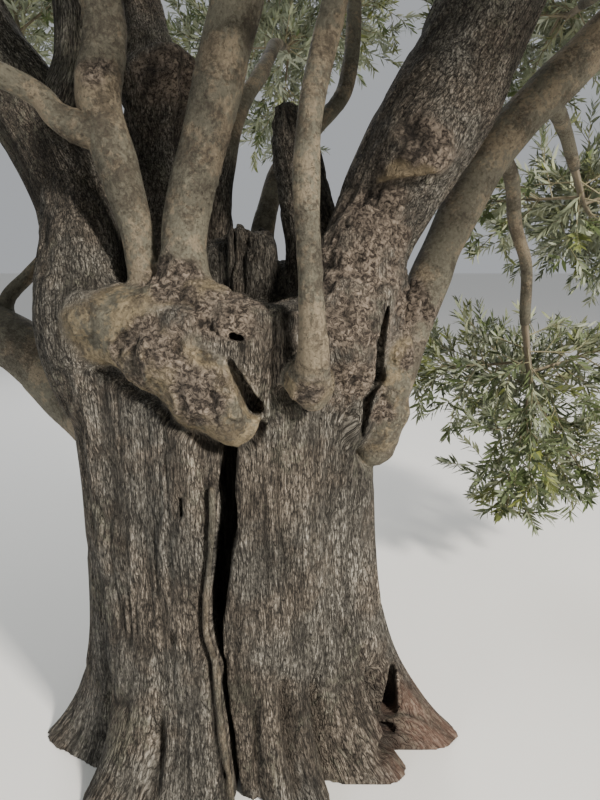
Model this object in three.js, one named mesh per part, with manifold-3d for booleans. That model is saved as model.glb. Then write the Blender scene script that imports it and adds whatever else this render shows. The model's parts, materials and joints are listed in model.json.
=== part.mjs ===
// An old olive tree, rooted in level ground. A short, stout trunk of two fused lobes is parted by a
// deep cleft in front and spreads into root buttresses. Swollen burls hang over the cleft, old rough
// boughs and younger smooth ones rise from the rim of the fork, and masses of foliage make a broad crown.
// Millimetres, +Z up, -Y towards the front. The origin is on the flat cut at ground level, under the trunk.

import * as THREE from "three";
import { mergeVertices } from "three/addons/utils/BufferGeometryUtils.js";
import Module from "manifold-3d";

const wasm = await Module();
wasm.setup();

// Driving sizes
const SEAM = 0.3; // clearance where one piece of wood meets the next
const TRUNK = {
  sides: 36,
  levels: [0, 0.035, 0.08, 0.15, 0.25, 0.38, 0.52, 0.66, 0.8, 0.9, 0.96],
  waist: 780, // height of the narrowest girth
  halfWidth: 444,
  halfDepth: 382,
  spread: 30, // how much the half widths grow towards the ground and the fork
  rim: 1500, // mean height of the fork's rim
  rimTilt: 62, // the rim is this much higher behind and lower in front
  bowl: 1400, // floor of the hollow between the boughs
  // Over the rim and down into the hollow: share of the rim's height, share of the radius, drop
  brim: [
    [0.99, 0.95, 0],
    [1, 0.86, 0],
    [1, 0.6, 45],
    [0.97, 0.25, 70],
  ],
};
const FLUTES = [
  { count: 5, depth: 13, turn: 0.9 },
  { count: 9, depth: 8, turn: 2.3 },
];
// Root buttresses: bearing and half spread in degrees, how far each one reaches, how high it climbs
const ROOTS = [
  { bearing: -10, spread: 13, reach: 290, climb: 260 },
  { bearing: -32, spread: 10, reach: 170, climb: 170 },
  { bearing: -58, spread: 11, reach: 170, climb: 150 },
  { bearing: -128, spread: 15, reach: 170, climb: 150 },
  { bearing: -166, spread: 14, reach: 150, climb: 140 },
  { bearing: 150, spread: 17, reach: 210, climb: 200 },
  { bearing: 98, spread: 18, reach: 190, climb: 170 },
  { bearing: 40, spread: 17, reach: 220, climb: 190 },
];
// The cleft wanders up the front: height, offset to the side and half width
const CLEFT = {
  line: [
    [0, 72, 4],
    [260, 43, 6],
    [440, 28, 8],
    [560, 16, 16],
    [740, 30, 21],
    [860, 43, 25],
    [1130, 50, 21],
  ],
  foot: -1, // the cut starts a little below the ground
  back: -150, // how far in it goes, measured along Y
  front: -900,
  lipSpread: 9, // degrees over which the lobes round into it
  lipDepth: 34,
};
// Swollen growths on the trunk: centre, half sizes
const BURLS = [
  { at: [-190, -250, 1380], size: [175, 135, 100], fine: 2 },
  { at: [-85, -300, 1315], size: [140, 130, 105], fine: 2 },
  { at: [0, -330, 1240], size: [115, 118, 112], fine: 1 },
  { at: [52, -345, 1180], size: [78, 92, 92], fine: 1 },
  { at: [75, -295, 1345], size: [88, 112, 122], fine: 1 },
  { at: [-318, -150, 1360], size: [118, 100, 90], fine: 1 },
  { at: [265, -362, 1254], size: [62, 80, 58], fine: 1 },
  { at: [472, -118, 1062], size: [58, 58, 66], fine: 1 },
  { at: [352, -225, 1330], size: [100, 96, 140], fine: 1 },
  { at: [60, 200, 1495], size: [118, 125, 150], fine: 1 },
];

// Boughs that rise from the trunk. Each point is [x, y, z, radius]: the first is inside the trunk, the
// second is the seam, and the rest lead up to where the bough sets out for its own mass of leaves.
const BOUGHS = [
  {
    name: "bough_left",
    bears: "middle_4",
    sides: 9,
    points: [
      [-330, 30, 1230, 150],
      [-400, 68, 1565, 137],
      [-450, 100, 1736, 134],
      [-590, 155, 1985, 126],
      [-790, 205, 2310, 110],
    ],
  },
  {
    name: "bough_left_low",
    bears: "low_5",
    sides: 8,
    points: [
      [-330, 60, 985, 104],
      [-560, 118, 1165, 96],
      [-690, 155, 1262, 92],
      [-880, 200, 1372, 88],
    ],
  },
  {
    name: "bough_back_left",
    bears: "middle_3",
    sides: 8,
    points: [
      [-180, 230, 1330, 120],
      [-206, 310, 1640, 108],
      [-228, 335, 1830, 104],
      [-258, 362, 2205, 96],
    ],
    knots: [{ at: [-165, 318, 2165], size: [72, 66, 60] }],
  },
  {
    name: "bough_front_left",
    bears: "middle_5",
    sides: 8,
    points: [
      [-150, -190, 1340, 44],
      [-178, -206, 1530, 40],
      [-196, -200, 1650, 44],
      [-240, -184, 1800, 56],
      [-283, -160, 1945, 62],
      [-268, -132, 2205, 56],
    ],
  },
  {
    name: "bough_front",
    bears: "middle_6",
    sides: 8,
    points: [
      [-66, -215, 1330, 70],
      [-64, -240, 1520, 63],
      [-58, -224, 1655, 60],
      [-4, -200, 1854, 59],
      [50, -182, 2046, 61],
      [90, -168, 2210, 62],
    ],
  },
  {
    name: "bough_front_right",
    bears: "low_8",
    sides: 7,
    points: [
      [272, -360, 1225, 40],
      [271, -431, 1345, 34],
      [264, -428, 1500, 30],
      [255, -396, 1720, 30],
      [268, -350, 1912, 30],
      [318, -300, 2140, 30],
    ],
  },
  {
    name: "bough_right",
    bears: "middle_1",
    sides: 10,
    points: [
      [368, -70, 1240, 112],
      [437, -80, 1590, 118],
      [489, -70, 1719, 132],
      [561, -60, 1853, 141],
      [662, -30, 2027, 146],
      [772, 0, 2260, 140],
    ],
    knots: [{ at: [566, -172, 1830], size: [82, 52, 52] }],
  },
  {
    name: "bough_right_low",
    bears: "low_1",
    sides: 8,
    points: [
      [462, -112, 1010, 52],
      [500, -126, 1130, 50],
      [522, -126, 1215, 50],
      [560, -92, 1330, 55],
      [612, -24, 1460, 60],
      [676, 50, 1590, 61],
      [765, 108, 1765, 63],
      [870, 165, 1920, 66],
      [1190, 250, 2245, 66],
    ],
  },
  {
    name: "bough_back",
    bears: "low_3",
    sides: 7,
    points: [
      [-20, 240, 1400, 52],
      [-34, 288, 1648, 45],
      [-38, 430, 1834, 38],
      [12, 610, 2106, 33],
      [95, 760, 2290, 30],
    ],
  },
  {
    name: "bough_back_right",
    bears: "middle_2",
    sides: 7,
    points: [
      [90, 270, 1420, 46],
      [112, 352, 1668, 38],
      [170, 500, 1880, 35],
      [300, 655, 2065, 34],
      [430, 800, 2245, 33],
    ],
  },
  {
    name: "stub_middle",
    sides: 8,
    points: [
      [335, 35, 1430, 88],
      [287, 74, 1600, 80],
      [262, 92, 1725, 80],
      [232, 108, 1860, 74],
      [206, 118, 1975, 50],
      [199, 120, 2010, 24],
    ],
  },
];

// Limbs that leave a bough part of the way along it, each with a mass of its own, some by way of
// further points [x, y, z, radius]
const BRANCHES = [
  {
    name: "branch_left_front",
    from: "bough_front_left",
    at: 0.49,
    bears: "low_6",
    radius: 33,
    via: [
      [-415, -205, 1955, 30],
      [-560, -262, 2030, 28],
    ],
  },
  {
    name: "branch_left_back",
    from: "bough_left_low",
    at: 0.46,
    bears: "low_4",
    radius: 25,
    via: [
      [-722, 318, 1500, 23],
      [-675, 410, 1590, 22],
      [-700, 590, 1760, 22],
    ],
  },
  { name: "branch_left_upper", from: "bough_left", at: 0.44, bears: "upper_2", radius: 62 },
  { name: "branch_front_low", from: "bough_front", at: 0.74, bears: "low_7", radius: 34 },
  { name: "branch_right_front", from: "bough_right", at: 0.72, bears: "low_9", radius: 48 },
  { name: "branch_right_back", from: "bough_right_low", at: 0.84, bears: "low_2", radius: 38 },
  { name: "branch_right_middle", from: "bough_right", at: 0.8, bears: "middle_7", radius: 50 },
  { name: "branch_upper_right", from: "bough_right", at: 0.88, bears: "upper_1", radius: 44 },
  { name: "branch_upper_left", from: "bough_front_left", at: 0.8, bears: "upper_3", radius: 40 },
  { name: "branch_upper_front", from: "bough_front", at: 0.84, bears: "upper_4", radius: 40 },
  { name: "branch_top", from: "bough_back_left", at: 0.8, bears: "top_1", radius: 46 },
  { name: "branch_hanging", from: "bough_right_low", at: 0.74, bears: "skirt_1", radius: 30 },
  { name: "branch_hanging_low", from: "bough_right_low", at: 0.66, bears: "skirt_2", radius: 26 },
];

// The crown: tiers of foliage masses round the trunk's axis, bearings in degrees
const TIERS = [
  { name: "low", masses: 9, first: 5, reach: 2230, height: 2800, size: 900 },
  { name: "middle", masses: 7, first: 18, reach: 1700, height: 3780, size: 930 },
  { name: "upper", masses: 4, first: 48, reach: 860, height: 4700, size: 880 },
  { name: "top", masses: 1, first: 0, reach: 60, height: 5270, size: 780 },
];
const SKIRT = [
  { at: [1560, 1010, 1780], size: 720 },
  { at: [1330, 900, 980], size: 700 },
];
const FORK = { angle: 0.9, margin: 26 }; // how a branch leaves its bough, and how far off its seam is
const BRANCH = { sides: 6, steps: 6 };
// The last stretch of a limb: how far from the mass's centre it ends, how much it arches, its last radius
const ARCH = { end: 0.62, rise: 0.06, tip: 21 };
const WANDER = { side: 150, height: 130, size: 60 }; // how far a mass strays from its even place
const STEM = { radius: 27, past: 0.3, bend: 0.4 }; // it runs past the centre, and bends on the way
const TWIG = {
  count: 6,
  butt: 12,
  tip: 9,
  first: 0.3, // share of the stem below the first twig
  turn: 137.5, // degrees round the stem from one twig to the next
  tilt: [1.9, 0.35], // radians away from the stem, from its foot to its end
  stray: { turn: 0.5, tilt: 0.3, fall: 0.25 },
  rise: 0.12,
};
const LEAF = { length: 420, width: 150, thickness: 6, widest: 0.4, splay: 0.75, pair: 0.62 };
const CLEAR = { space: 14, limb: 22, ground: 180 }; // what twigs and leaves keep free around them
const BALLS = 40; // how many steps a limb is measured in, to keep leaves off it
const SEED = 4211;
const SEED_STEP = 97; // from one mass's seed to the next

// Even random numbers from 0 to 1, always the same for the same seed
function seeded(seed) {
  let state = seed;
  return () => {
    state = (state * 16807) % 2147483647;
    return state / 2147483647;
  };
}

const radians = (degrees) => (degrees * Math.PI) / 180;
const vector = (numbers) => new THREE.Vector3(numbers[0], numbers[1], numbers[2]);
const mix = (a, b, share) => a + (b - a) * share;

// A geometry as a manifold solid, and back again
function solidOf(geometry) {
  const bare = geometry.clone();
  bare.deleteAttribute("normal");
  bare.deleteAttribute("uv");
  const merged = mergeVertices(bare, 1e-4);
  return new wasm.Manifold(
    new wasm.Mesh({
      numProp: 3,
      vertProperties: merged.attributes.position.array,
      triVerts: new Uint32Array(merged.index.array),
    }),
  );
}

function geometryOf(solid) {
  const mesh = solid.getMesh();
  return new THREE.BufferGeometry()
    .setAttribute("position", new THREE.BufferAttribute(mesh.vertProperties, mesh.numProp))
    .setIndex(new THREE.BufferAttribute(mesh.triVerts, 1));
}

// A closed skin through rings of points, each ring wound the same way, with a fan at each end
function loft(rings, bottomCentre, topCentre) {
  const sides = rings[0].length;
  const last = rings.length - 1;
  const places = [...rings.flat(), bottomCentre, topCentre].flatMap((p) => p.toArray());
  const corner = (ring, side) => ring * sides + (side % sides);
  const bottom = rings.length * sides;
  const top = bottom + 1;
  const faces = [];
  for (let side = 0; side < sides; side++) {
    for (let ring = 0; ring < last; ring++) {
      faces.push(corner(ring, side), corner(ring, side + 1), corner(ring + 1, side + 1));
      faces.push(corner(ring, side), corner(ring + 1, side + 1), corner(ring + 1, side));
    }
    faces.push(bottom, corner(0, side + 1), corner(0, side));
    faces.push(top, corner(last, side), corner(last, side + 1));
  }
  return new THREE.BufferGeometry()
    .setAttribute("position", new THREE.Float32BufferAttribute(places, 3))
    .setIndex(faces);
}

// A lump of wood: a faceted ball stretched to its half sizes
function lump({ at, size, fine = 1 }) {
  return new THREE.IcosahedronGeometry(1, fine).scale(...size).translate(...at);
}

// The trunk's radius at a bearing and a height: an oval with flutes, root buttresses and rounded lips
function trunkRadius(bearing, height) {
  const swell = ((height - TRUNK.waist) / TRUNK.waist) ** 2 * TRUNK.spread;
  const across = Math.cos(bearing) / (TRUNK.halfWidth + swell);
  const along = Math.sin(bearing) / (TRUNK.halfDepth + swell);
  let radius = 1 / Math.hypot(across, along);
  for (const flute of FLUTES) radius += flute.depth * Math.cos(flute.count * bearing + flute.turn);
  for (const root of ROOTS) {
    const off = angleBetween(bearing, radians(root.bearing)) / radians(root.spread);
    radius += root.reach * Math.exp(-off * off - height / root.climb);
  }
  const lip = angleBetween(bearing, cleftBearing(height)) / radians(CLEFT.lipSpread);
  return radius - CLEFT.lipDepth * Math.exp(-lip * lip);
}

function angleBetween(a, b) {
  return Math.atan2(Math.sin(a - b), Math.cos(a - b));
}

// The cleft's middle line and half width at a height
function cleftAt(height) {
  const line = CLEFT.line;
  let row = 0;
  while (row < line.length - 2 && height > line[row + 1][0]) row++;
  const share = THREE.MathUtils.clamp((height - line[row][0]) / (line[row + 1][0] - line[row][0]), 0, 1);
  return { x: mix(line[row][1], line[row + 1][1], share), half: mix(line[row][2], line[row + 1][2], share) };
}

function cleftBearing(height) {
  return Math.atan2(-TRUNK.halfDepth, cleftAt(height).x);
}

function trunkSkin() {
  const ring = (share, inward, drop) =>
    Array.from({ length: TRUNK.sides }, (_, side) => {
      const bearing = (side / TRUNK.sides) * 2 * Math.PI;
      const height = share * TRUNK.rim + TRUNK.rimTilt * Math.sin(bearing) * share ** 4 - drop;
      const radius = trunkRadius(bearing, height) * inward;
      return new THREE.Vector3(radius * Math.cos(bearing), radius * Math.sin(bearing), height);
    });
  const rings = TRUNK.levels.map((share) => ring(share, 1, 0));
  for (const [share, inward, drop] of TRUNK.brim) rings.push(ring(share, inward, drop));
  return loft(rings, new THREE.Vector3(0, 0, 0), new THREE.Vector3(0, 0, TRUNK.bowl));
}

// The slot that parts the two lobes: an outline in the front view, cut straight in
function cleftSlot() {
  const outline = new THREE.Shape();
  const levels = CLEFT.line.map((row) => row[0]);
  levels.forEach((height, i) => {
    const { x, half } = cleftAt(height);
    outline[i ? "lineTo" : "moveTo"](x - half, i ? height : CLEFT.foot);
  });
  [...levels].reverse().forEach((height) => {
    const { x, half } = cleftAt(height);
    outline.lineTo(x + half, height || CLEFT.foot);
  });
  return new THREE.ExtrudeGeometry(outline, {
    depth: CLEFT.back - CLEFT.front,
    bevelEnabled: false,
  })
    .rotateX(Math.PI / 2)
    .translate(0, CLEFT.back, 0);
}

// The place, heading and radius of a limb at a share of its control points
function limbLine(points) {
  const curve = new THREE.CatmullRomCurve3(points.map(vector));
  const radius = (share) => {
    const reach = share * (points.length - 1);
    const step = Math.min(Math.floor(reach), points.length - 2);
    return mix(points[step][3], points[step + 1][3], reach - step);
  };
  return { place: (t) => curve.getPoint(t), heading: (t) => curve.getTangent(t), radius };
}

// Rings along a limb, turned from one to the next without twist
function limbRings(line, shares, sides) {
  let across = null;
  return shares.map((share) => {
    const heading = line.heading(share);
    if (!across) across = new THREE.Vector3(heading.z, heading.x, heading.y).cross(heading);
    across.addScaledVector(heading, -across.dot(heading)).normalize();
    const other = heading.clone().cross(across);
    const centre = line.place(share);
    return Array.from({ length: sides }, (_, side) => {
      const angle = (side / sides) * 2 * Math.PI;
      return centre
        .clone()
        .addScaledVector(across, line.radius(share) * Math.cos(angle))
        .addScaledVector(other, line.radius(share) * Math.sin(angle));
    });
  });
}

// A limb in two parts: the collar that belongs to its carrier, and the limb itself past the seam
function limbParts(limb) {
  const seam = 1 / (limb.points.length - 1);
  const shares = [0, seam];
  for (let i = 1; i <= limb.steps; i++) shares.push(mix(seam, 1, i / limb.steps));
  const [foot, joint, ...free] = limbRings(limb.line, shares, limb.sides);
  const [start, middle, tip] = [0, seam, 1].map((share) => limb.line.place(share));
  const shift = limb.line.heading(seam).multiplyScalar(SEAM);
  const first = joint.map((p) => p.clone().add(shift));
  return {
    collar: loft([foot, joint], start, middle),
    wood: loft([first, ...free], middle.clone().add(shift), tip),
  };
}

// The masses of foliage, each a ball of space round its centre
function planMasses() {
  const random = seeded(SEED);
  const stray = (reach) => (random() * 2 - 1) * reach;
  const masses = [];
  for (const tier of TIERS) {
    for (let i = 0; i < tier.masses; i++) {
      const bearing = radians(tier.first + (i * 360) / tier.masses);
      const side = tier.reach + stray(WANDER.side);
      masses.push({
        name: `${tier.name}_${i + 1}`,
        centre: new THREE.Vector3(
          side * Math.cos(bearing),
          side * Math.sin(bearing),
          tier.height + stray(WANDER.height),
        ),
        size: tier.size + stray(WANDER.size),
      });
    }
  }
  SKIRT.forEach(({ at, size }, i) => {
    masses.push({ name: `skirt_${i + 1}`, centre: vector(at), size });
  });
  masses.forEach((mass, i) => {
    mass.seed = SEED + SEED_STEP * (i + 1);
  });
  return masses;
}

// A limb's last stretch: it arches over to the near side of the mass that it bears
function reachMass(points, mass) {
  const from = points.at(-1);
  const start = vector(from);
  const inward = start.clone().sub(mass.centre).normalize();
  const tip = mass.centre.clone().addScaledVector(inward, mass.size * ARCH.end);
  const middle = start.clone().lerp(tip, 0.5);
  middle.z += start.distanceTo(tip) * ARCH.rise;
  return [
    ...points,
    [...middle.toArray(), mix(from[3], ARCH.tip, 0.5)],
    [...tip.toArray(), ARCH.tip],
  ];
}

function planLimbs(masses) {
  const limbs = new Map();
  const massOf = (name) => masses.find((mass) => mass.name === name);
  const add = (limb) => {
    limb.line = limbLine(limb.points);
    limb.children = [];
    limbs.set(limb.name, limb);
    if (limb.bears) massOf(limb.bears).limb = limb;
  };
  for (const bough of BOUGHS) {
    const points = bough.bears ? reachMass(bough.points, massOf(bough.bears)) : bough.points;
    add({ ...bough, points, steps: 2 * (points.length - 2) });
  }
  for (const branch of BRANCHES) {
    const parent = limbs.get(branch.from);
    const start = parent.line.place(branch.at);
    const mass = massOf(branch.bears);
    const girth = parent.line.radius(branch.at);
    const along = parent.line.heading(branch.at);
    const via = branch.via ?? [];
    const goal = via.length ? vector(via[0]) : mass.centre;
    const aside = goal.clone().sub(start).projectOnPlane(along).normalize();
    const [lean, spread] = [Math.cos(FORK.angle), Math.sin(FORK.angle)];
    const out = along.clone().multiplyScalar(lean).addScaledVector(aside, spread);
    const clear = (girth + branch.radius * lean) / spread + FORK.margin;
    const seam = start.clone().addScaledVector(out, clear);
    const points = reachMass(
      [
        [...start.toArray(), branch.radius],
        [...seam.toArray(), branch.radius],
        ...via,
      ],
      mass,
    );
    add({ ...branch, points, sides: BRANCH.sides, steps: BRANCH.steps + via.length });
    parent.children.push(limbs.get(branch.name));
  }
  return limbs;
}

// How far a ray goes before it leaves a mass's own space
function roomAlong(mass, masses, from, heading) {
  const toCentre = mass.centre.clone().sub(from);
  const near = toCentre.dot(heading);
  const inside = mass.size ** 2 - toCentre.lengthSq() + near ** 2;
  if (inside <= 0) return 0;
  let room = near + Math.sqrt(inside);
  for (const other of masses) {
    if (other === mass) continue;
    const apart = other.centre.clone().sub(mass.centre);
    const approach = heading.dot(apart);
    if (approach <= 0) continue;
    const border =
      (other.centre.lengthSq() - mass.centre.lengthSq() + mass.size ** 2 - other.size ** 2) / 2;
    room = Math.min(room, (border - from.dot(apart) - CLEAR.space * apart.length()) / approach);
  }
  if (heading.z < 0) room = Math.min(room, (CLEAR.ground - from.z) / heading.z);
  return room - CLEAR.space;
}

// Balls strung along every limb, for keeping twigs and leaves off the wood
function limbBalls(limbs) {
  const balls = [];
  for (const limb of limbs.values()) {
    for (let i = 0; i <= BALLS; i++) {
      balls.push({ centre: limb.line.place(i / BALLS), radius: limb.line.radius(i / BALLS) });
    }
  }
  return balls;
}

function touchesWood(balls, from, to, girth) {
  const span = to.clone().sub(from);
  const lengthSq = span.lengthSq();
  return balls.some(({ centre, radius }) => {
    const share = THREE.MathUtils.clamp(centre.clone().sub(from).dot(span) / lengthSq, 0, 1);
    return centre.distanceTo(from.clone().addScaledVector(span, share)) < radius + girth + CLEAR.limb;
  });
}

// Two directions square to a heading, also where it points straight up
function squareTo(heading) {
  const side = new THREE.Vector3(-heading.y, heading.x, 0.001).normalize();
  return [side, heading.clone().cross(side).normalize()];
}

// A heading tilted away from itself, towards the side that roll gives
function turned(heading, tilt, roll) {
  const [side, other] = squareTo(heading);
  return heading
    .clone()
    .multiplyScalar(Math.cos(tilt))
    .addScaledVector(side, Math.sin(tilt) * Math.cos(roll))
    .addScaledVector(other, Math.sin(tilt) * Math.sin(roll))
    .normalize();
}

// The rule by which a mass grows: a stem from the limb's tip through the middle, twigs round it in a
// spiral that run out to the edge of the mass's space, and sprays of leaves along and at the end of each
function growMass(mass, masses, balls) {
  const random = seeded(mass.seed);
  const root = mass.limb.line.place(1);
  const heading = mass.limb.line.heading(1);
  const start = root.clone().addScaledVector(heading, SEAM);
  const through = mass.centre.clone().sub(root).normalize();
  const far = mass.centre.clone().addScaledVector(through, mass.size * STEM.past);
  const bend = start.clone().addScaledVector(heading, start.distanceTo(far) * STEM.bend);
  const along = far.clone().sub(bend).normalize();
  const stemAt = (share) => {
    if (share < STEM.bend) return start.clone().lerp(bend, share / STEM.bend);
    return bend.clone().lerp(far, (share - STEM.bend) / (1 - STEM.bend));
  };
  const twigs = [];
  const sprays = [];
  for (let i = 0; i < TWIG.count; i++) {
    const share = mix(TWIG.first, 1, (i + 0.5) / TWIG.count);
    const from = stemAt(share);
    const roll = i * radians(TWIG.turn) + random() * TWIG.stray.turn;
    const tilt = mix(...TWIG.tilt, share) + (random() - 0.5) * TWIG.stray.tilt;
    const out = turned(along, tilt, roll);
    out.z += TWIG.rise - TWIG.stray.fall * random();
    out.normalize();
    const spin = random();
    const length = roomAlong(mass, masses, from, out) - LEAF.length;
    const to = from.clone().addScaledVector(out, length);
    const end = to.clone().addScaledVector(out, LEAF.length);
    if (length < LEAF.length / 4 || touchesWood(balls, from, end, LEAF.width / 2)) continue;
    twigs.push({ from, to, end, roll: spin * Math.PI });
    const base = from.clone().lerp(to, LEAF.pair);
    for (const side of [0, Math.PI]) {
      const lay = turned(out, LEAF.splay, spin * 2 * Math.PI + side);
      const tip = base.clone().addScaledVector(lay, LEAF.length);
      if (roomAlong(mass, masses, base, lay) < LEAF.length) continue;
      if (touchesWood(balls, base, tip, LEAF.width / 2)) continue;
      sprays.push({ base, lay, tip, roll: side + spin });
    }
  }
  return { start, bend, far, twigs, sprays };
}

// Three points round a place, square to a heading: a twig's section, or a blade's where one size is small
function sectionAt(place, heading, across, thick, roll = 0) {
  const [side, other] = squareTo(heading);
  side.applyAxisAngle(heading, roll);
  other.applyAxisAngle(heading, roll);
  return [0, 1, 2].map((k) => {
    const angle = (k * 2 * Math.PI) / 3;
    return place
      .clone()
      .addScaledVector(side, across * Math.cos(angle))
      .addScaledVector(other, thick * Math.sin(angle));
  });
}

function bladeSection(base, lay, roll) {
  const widest = base.clone().addScaledVector(lay, LEAF.length * LEAF.widest);
  return sectionAt(widest, lay, LEAF.width / 1.5, LEAF.thickness, roll);
}

function stemGeometry({ start, bend, far }) {
  const first = bend.clone().sub(start).normalize();
  const second = far.clone().sub(bend).normalize();
  const rings = [
    sectionAt(start, first, STEM.radius, STEM.radius),
    sectionAt(bend, first.clone().add(second).normalize(), STEM.radius, STEM.radius),
    sectionAt(far, second, STEM.radius / 2, STEM.radius / 2),
  ];
  return loft(rings, start, far);
}

// A twig that ends in a blade
function twigGeometry({ from, to, end, roll }) {
  const out = to.clone().sub(from).normalize();
  const rings = [
    sectionAt(from, out, TWIG.butt, TWIG.butt, roll),
    sectionAt(to, out, TWIG.tip, TWIG.tip, roll),
    bladeSection(to, out, roll),
  ];
  return loft(rings, from, end);
}

// A spray of leaves as one pointed blade whose root is sunk in its twig
function bladeGeometry({ base, lay, tip, roll }) {
  const root = base.clone().addScaledVector(lay, -TWIG.tip / 2);
  return loft([bladeSection(base, lay, roll)], root, tip);
}

function massSolid(growth) {
  let solid = solidOf(stemGeometry(growth));
  for (const twig of growth.twigs) solid = solid.add(solidOf(twigGeometry(twig)));
  for (const spray of growth.sprays) solid = solid.add(solidOf(bladeGeometry(spray)));
  return solid;
}

// Materials
const oldBark = new THREE.MeshStandardMaterial({ color: 0x75655a, roughness: 0.95, metalness: 0 });
const smoothBark = new THREE.MeshStandardMaterial({ color: 0x8a7f68, roughness: 0.85, metalness: 0 });
const foliage = new THREE.MeshStandardMaterial({ color: 0x6f7a58, roughness: 0.6, metalness: 0 });

function piece(name, solid, material) {
  const mesh = new THREE.Mesh(geometryOf(solid), material);
  mesh.name = name;
  return mesh;
}

// A limb's wood past its seam, with its knots and the collars of the branches that leave it
function limbSolid(limb) {
  let solid = solidOf(limbParts(limb).wood);
  for (const knot of limb.knots ?? []) solid = solid.add(solidOf(lump(knot)));
  for (const child of limb.children) solid = solid.add(solidOf(limbParts(child).collar));
  return solid;
}

function trunkSolid(limbs) {
  let solid = solidOf(trunkSkin());
  for (const burl of BURLS) solid = solid.add(solidOf(lump(burl)));
  solid = solid.subtract(solidOf(cleftSlot()));
  for (const bough of BOUGHS) solid = solid.add(solidOf(limbParts(limbs.get(bough.name)).collar));
  return solid;
}

const masses = planMasses();
const limbs = planLimbs(masses);
const balls = limbBalls(limbs);

const tree = new THREE.Group();
tree.name = "olive_tree";
tree.add(piece("trunk", trunkSolid(limbs), oldBark));
const rough = new Set(["bough_left", "bough_right", "bough_back_left", "stub_middle"]);
for (const limb of limbs.values()) {
  tree.add(piece(limb.name, limbSolid(limb), rough.has(limb.name) ? oldBark : smoothBark));
}
for (const mass of masses) {
  const growth = growMass(mass, masses, balls);
  tree.add(piece(`leaves_${mass.name}`, massSolid(growth), foliage));
}

export default tree;
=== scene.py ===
import json
import logging
import math
from dataclasses import dataclass, field
from enum import Enum, IntEnum

import bpy
import numpy as np
import openvdb
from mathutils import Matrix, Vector

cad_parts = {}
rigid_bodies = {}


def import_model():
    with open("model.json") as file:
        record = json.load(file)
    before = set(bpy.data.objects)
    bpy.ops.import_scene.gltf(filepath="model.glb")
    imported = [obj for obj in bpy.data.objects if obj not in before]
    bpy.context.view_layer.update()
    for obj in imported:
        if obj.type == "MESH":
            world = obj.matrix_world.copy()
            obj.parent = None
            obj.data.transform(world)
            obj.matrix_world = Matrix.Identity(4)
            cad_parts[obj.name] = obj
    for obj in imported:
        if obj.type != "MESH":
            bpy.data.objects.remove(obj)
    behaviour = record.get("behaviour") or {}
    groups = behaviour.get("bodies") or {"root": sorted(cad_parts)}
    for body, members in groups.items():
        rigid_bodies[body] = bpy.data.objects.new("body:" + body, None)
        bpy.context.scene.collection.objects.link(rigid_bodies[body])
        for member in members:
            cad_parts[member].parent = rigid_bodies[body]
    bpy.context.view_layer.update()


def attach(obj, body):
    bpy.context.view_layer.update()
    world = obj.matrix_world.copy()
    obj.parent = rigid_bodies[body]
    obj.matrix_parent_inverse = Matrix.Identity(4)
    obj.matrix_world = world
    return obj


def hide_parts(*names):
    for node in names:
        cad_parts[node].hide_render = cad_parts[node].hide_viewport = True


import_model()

LOG = logging.getLogger("olive_tree")
GOLDEN_ANGLE = math.radians(137.5)
# Somewhat over a full turn, for turns at random
ANY_TURN = 6.3
# How far along a shoot something can grow at most
LAST_SHARE = 0.999
UP = np.array([0.0, 0.0, 1.0])
BODY = "root"
Array = np.ndarray
Material = bpy.types.Material
Socket = bpy.types.NodeSocket
NodeTree = bpy.types.NodeTree


# Plan of the tree, after the solids', in metres


class Bark(Enum):
    """Kinds of bark."""

    OLD = "old_bark"
    SMOOTH = "smooth_bark"


class Seed(IntEnum):
    """Seeds of the noises that shape the wood, one for each use."""

    LIMB_STRAY = 61
    LIMB_SWELL = 62
    CLEFT_WANDER = 71
    RAGGED = 72
    ROLL_SKIN = 73
    ROLL_WANDER = 74
    DEAD_WOOD = 75
    CRUST_WIDE = 81
    CRUST_FINE = 82
    STUB_SKIN = 91
    WOUND_EDGE = 92
    KNOT_LUMPS = 93
    KNOT_CRUST = 94
    STUB_TOP = 95


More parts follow.
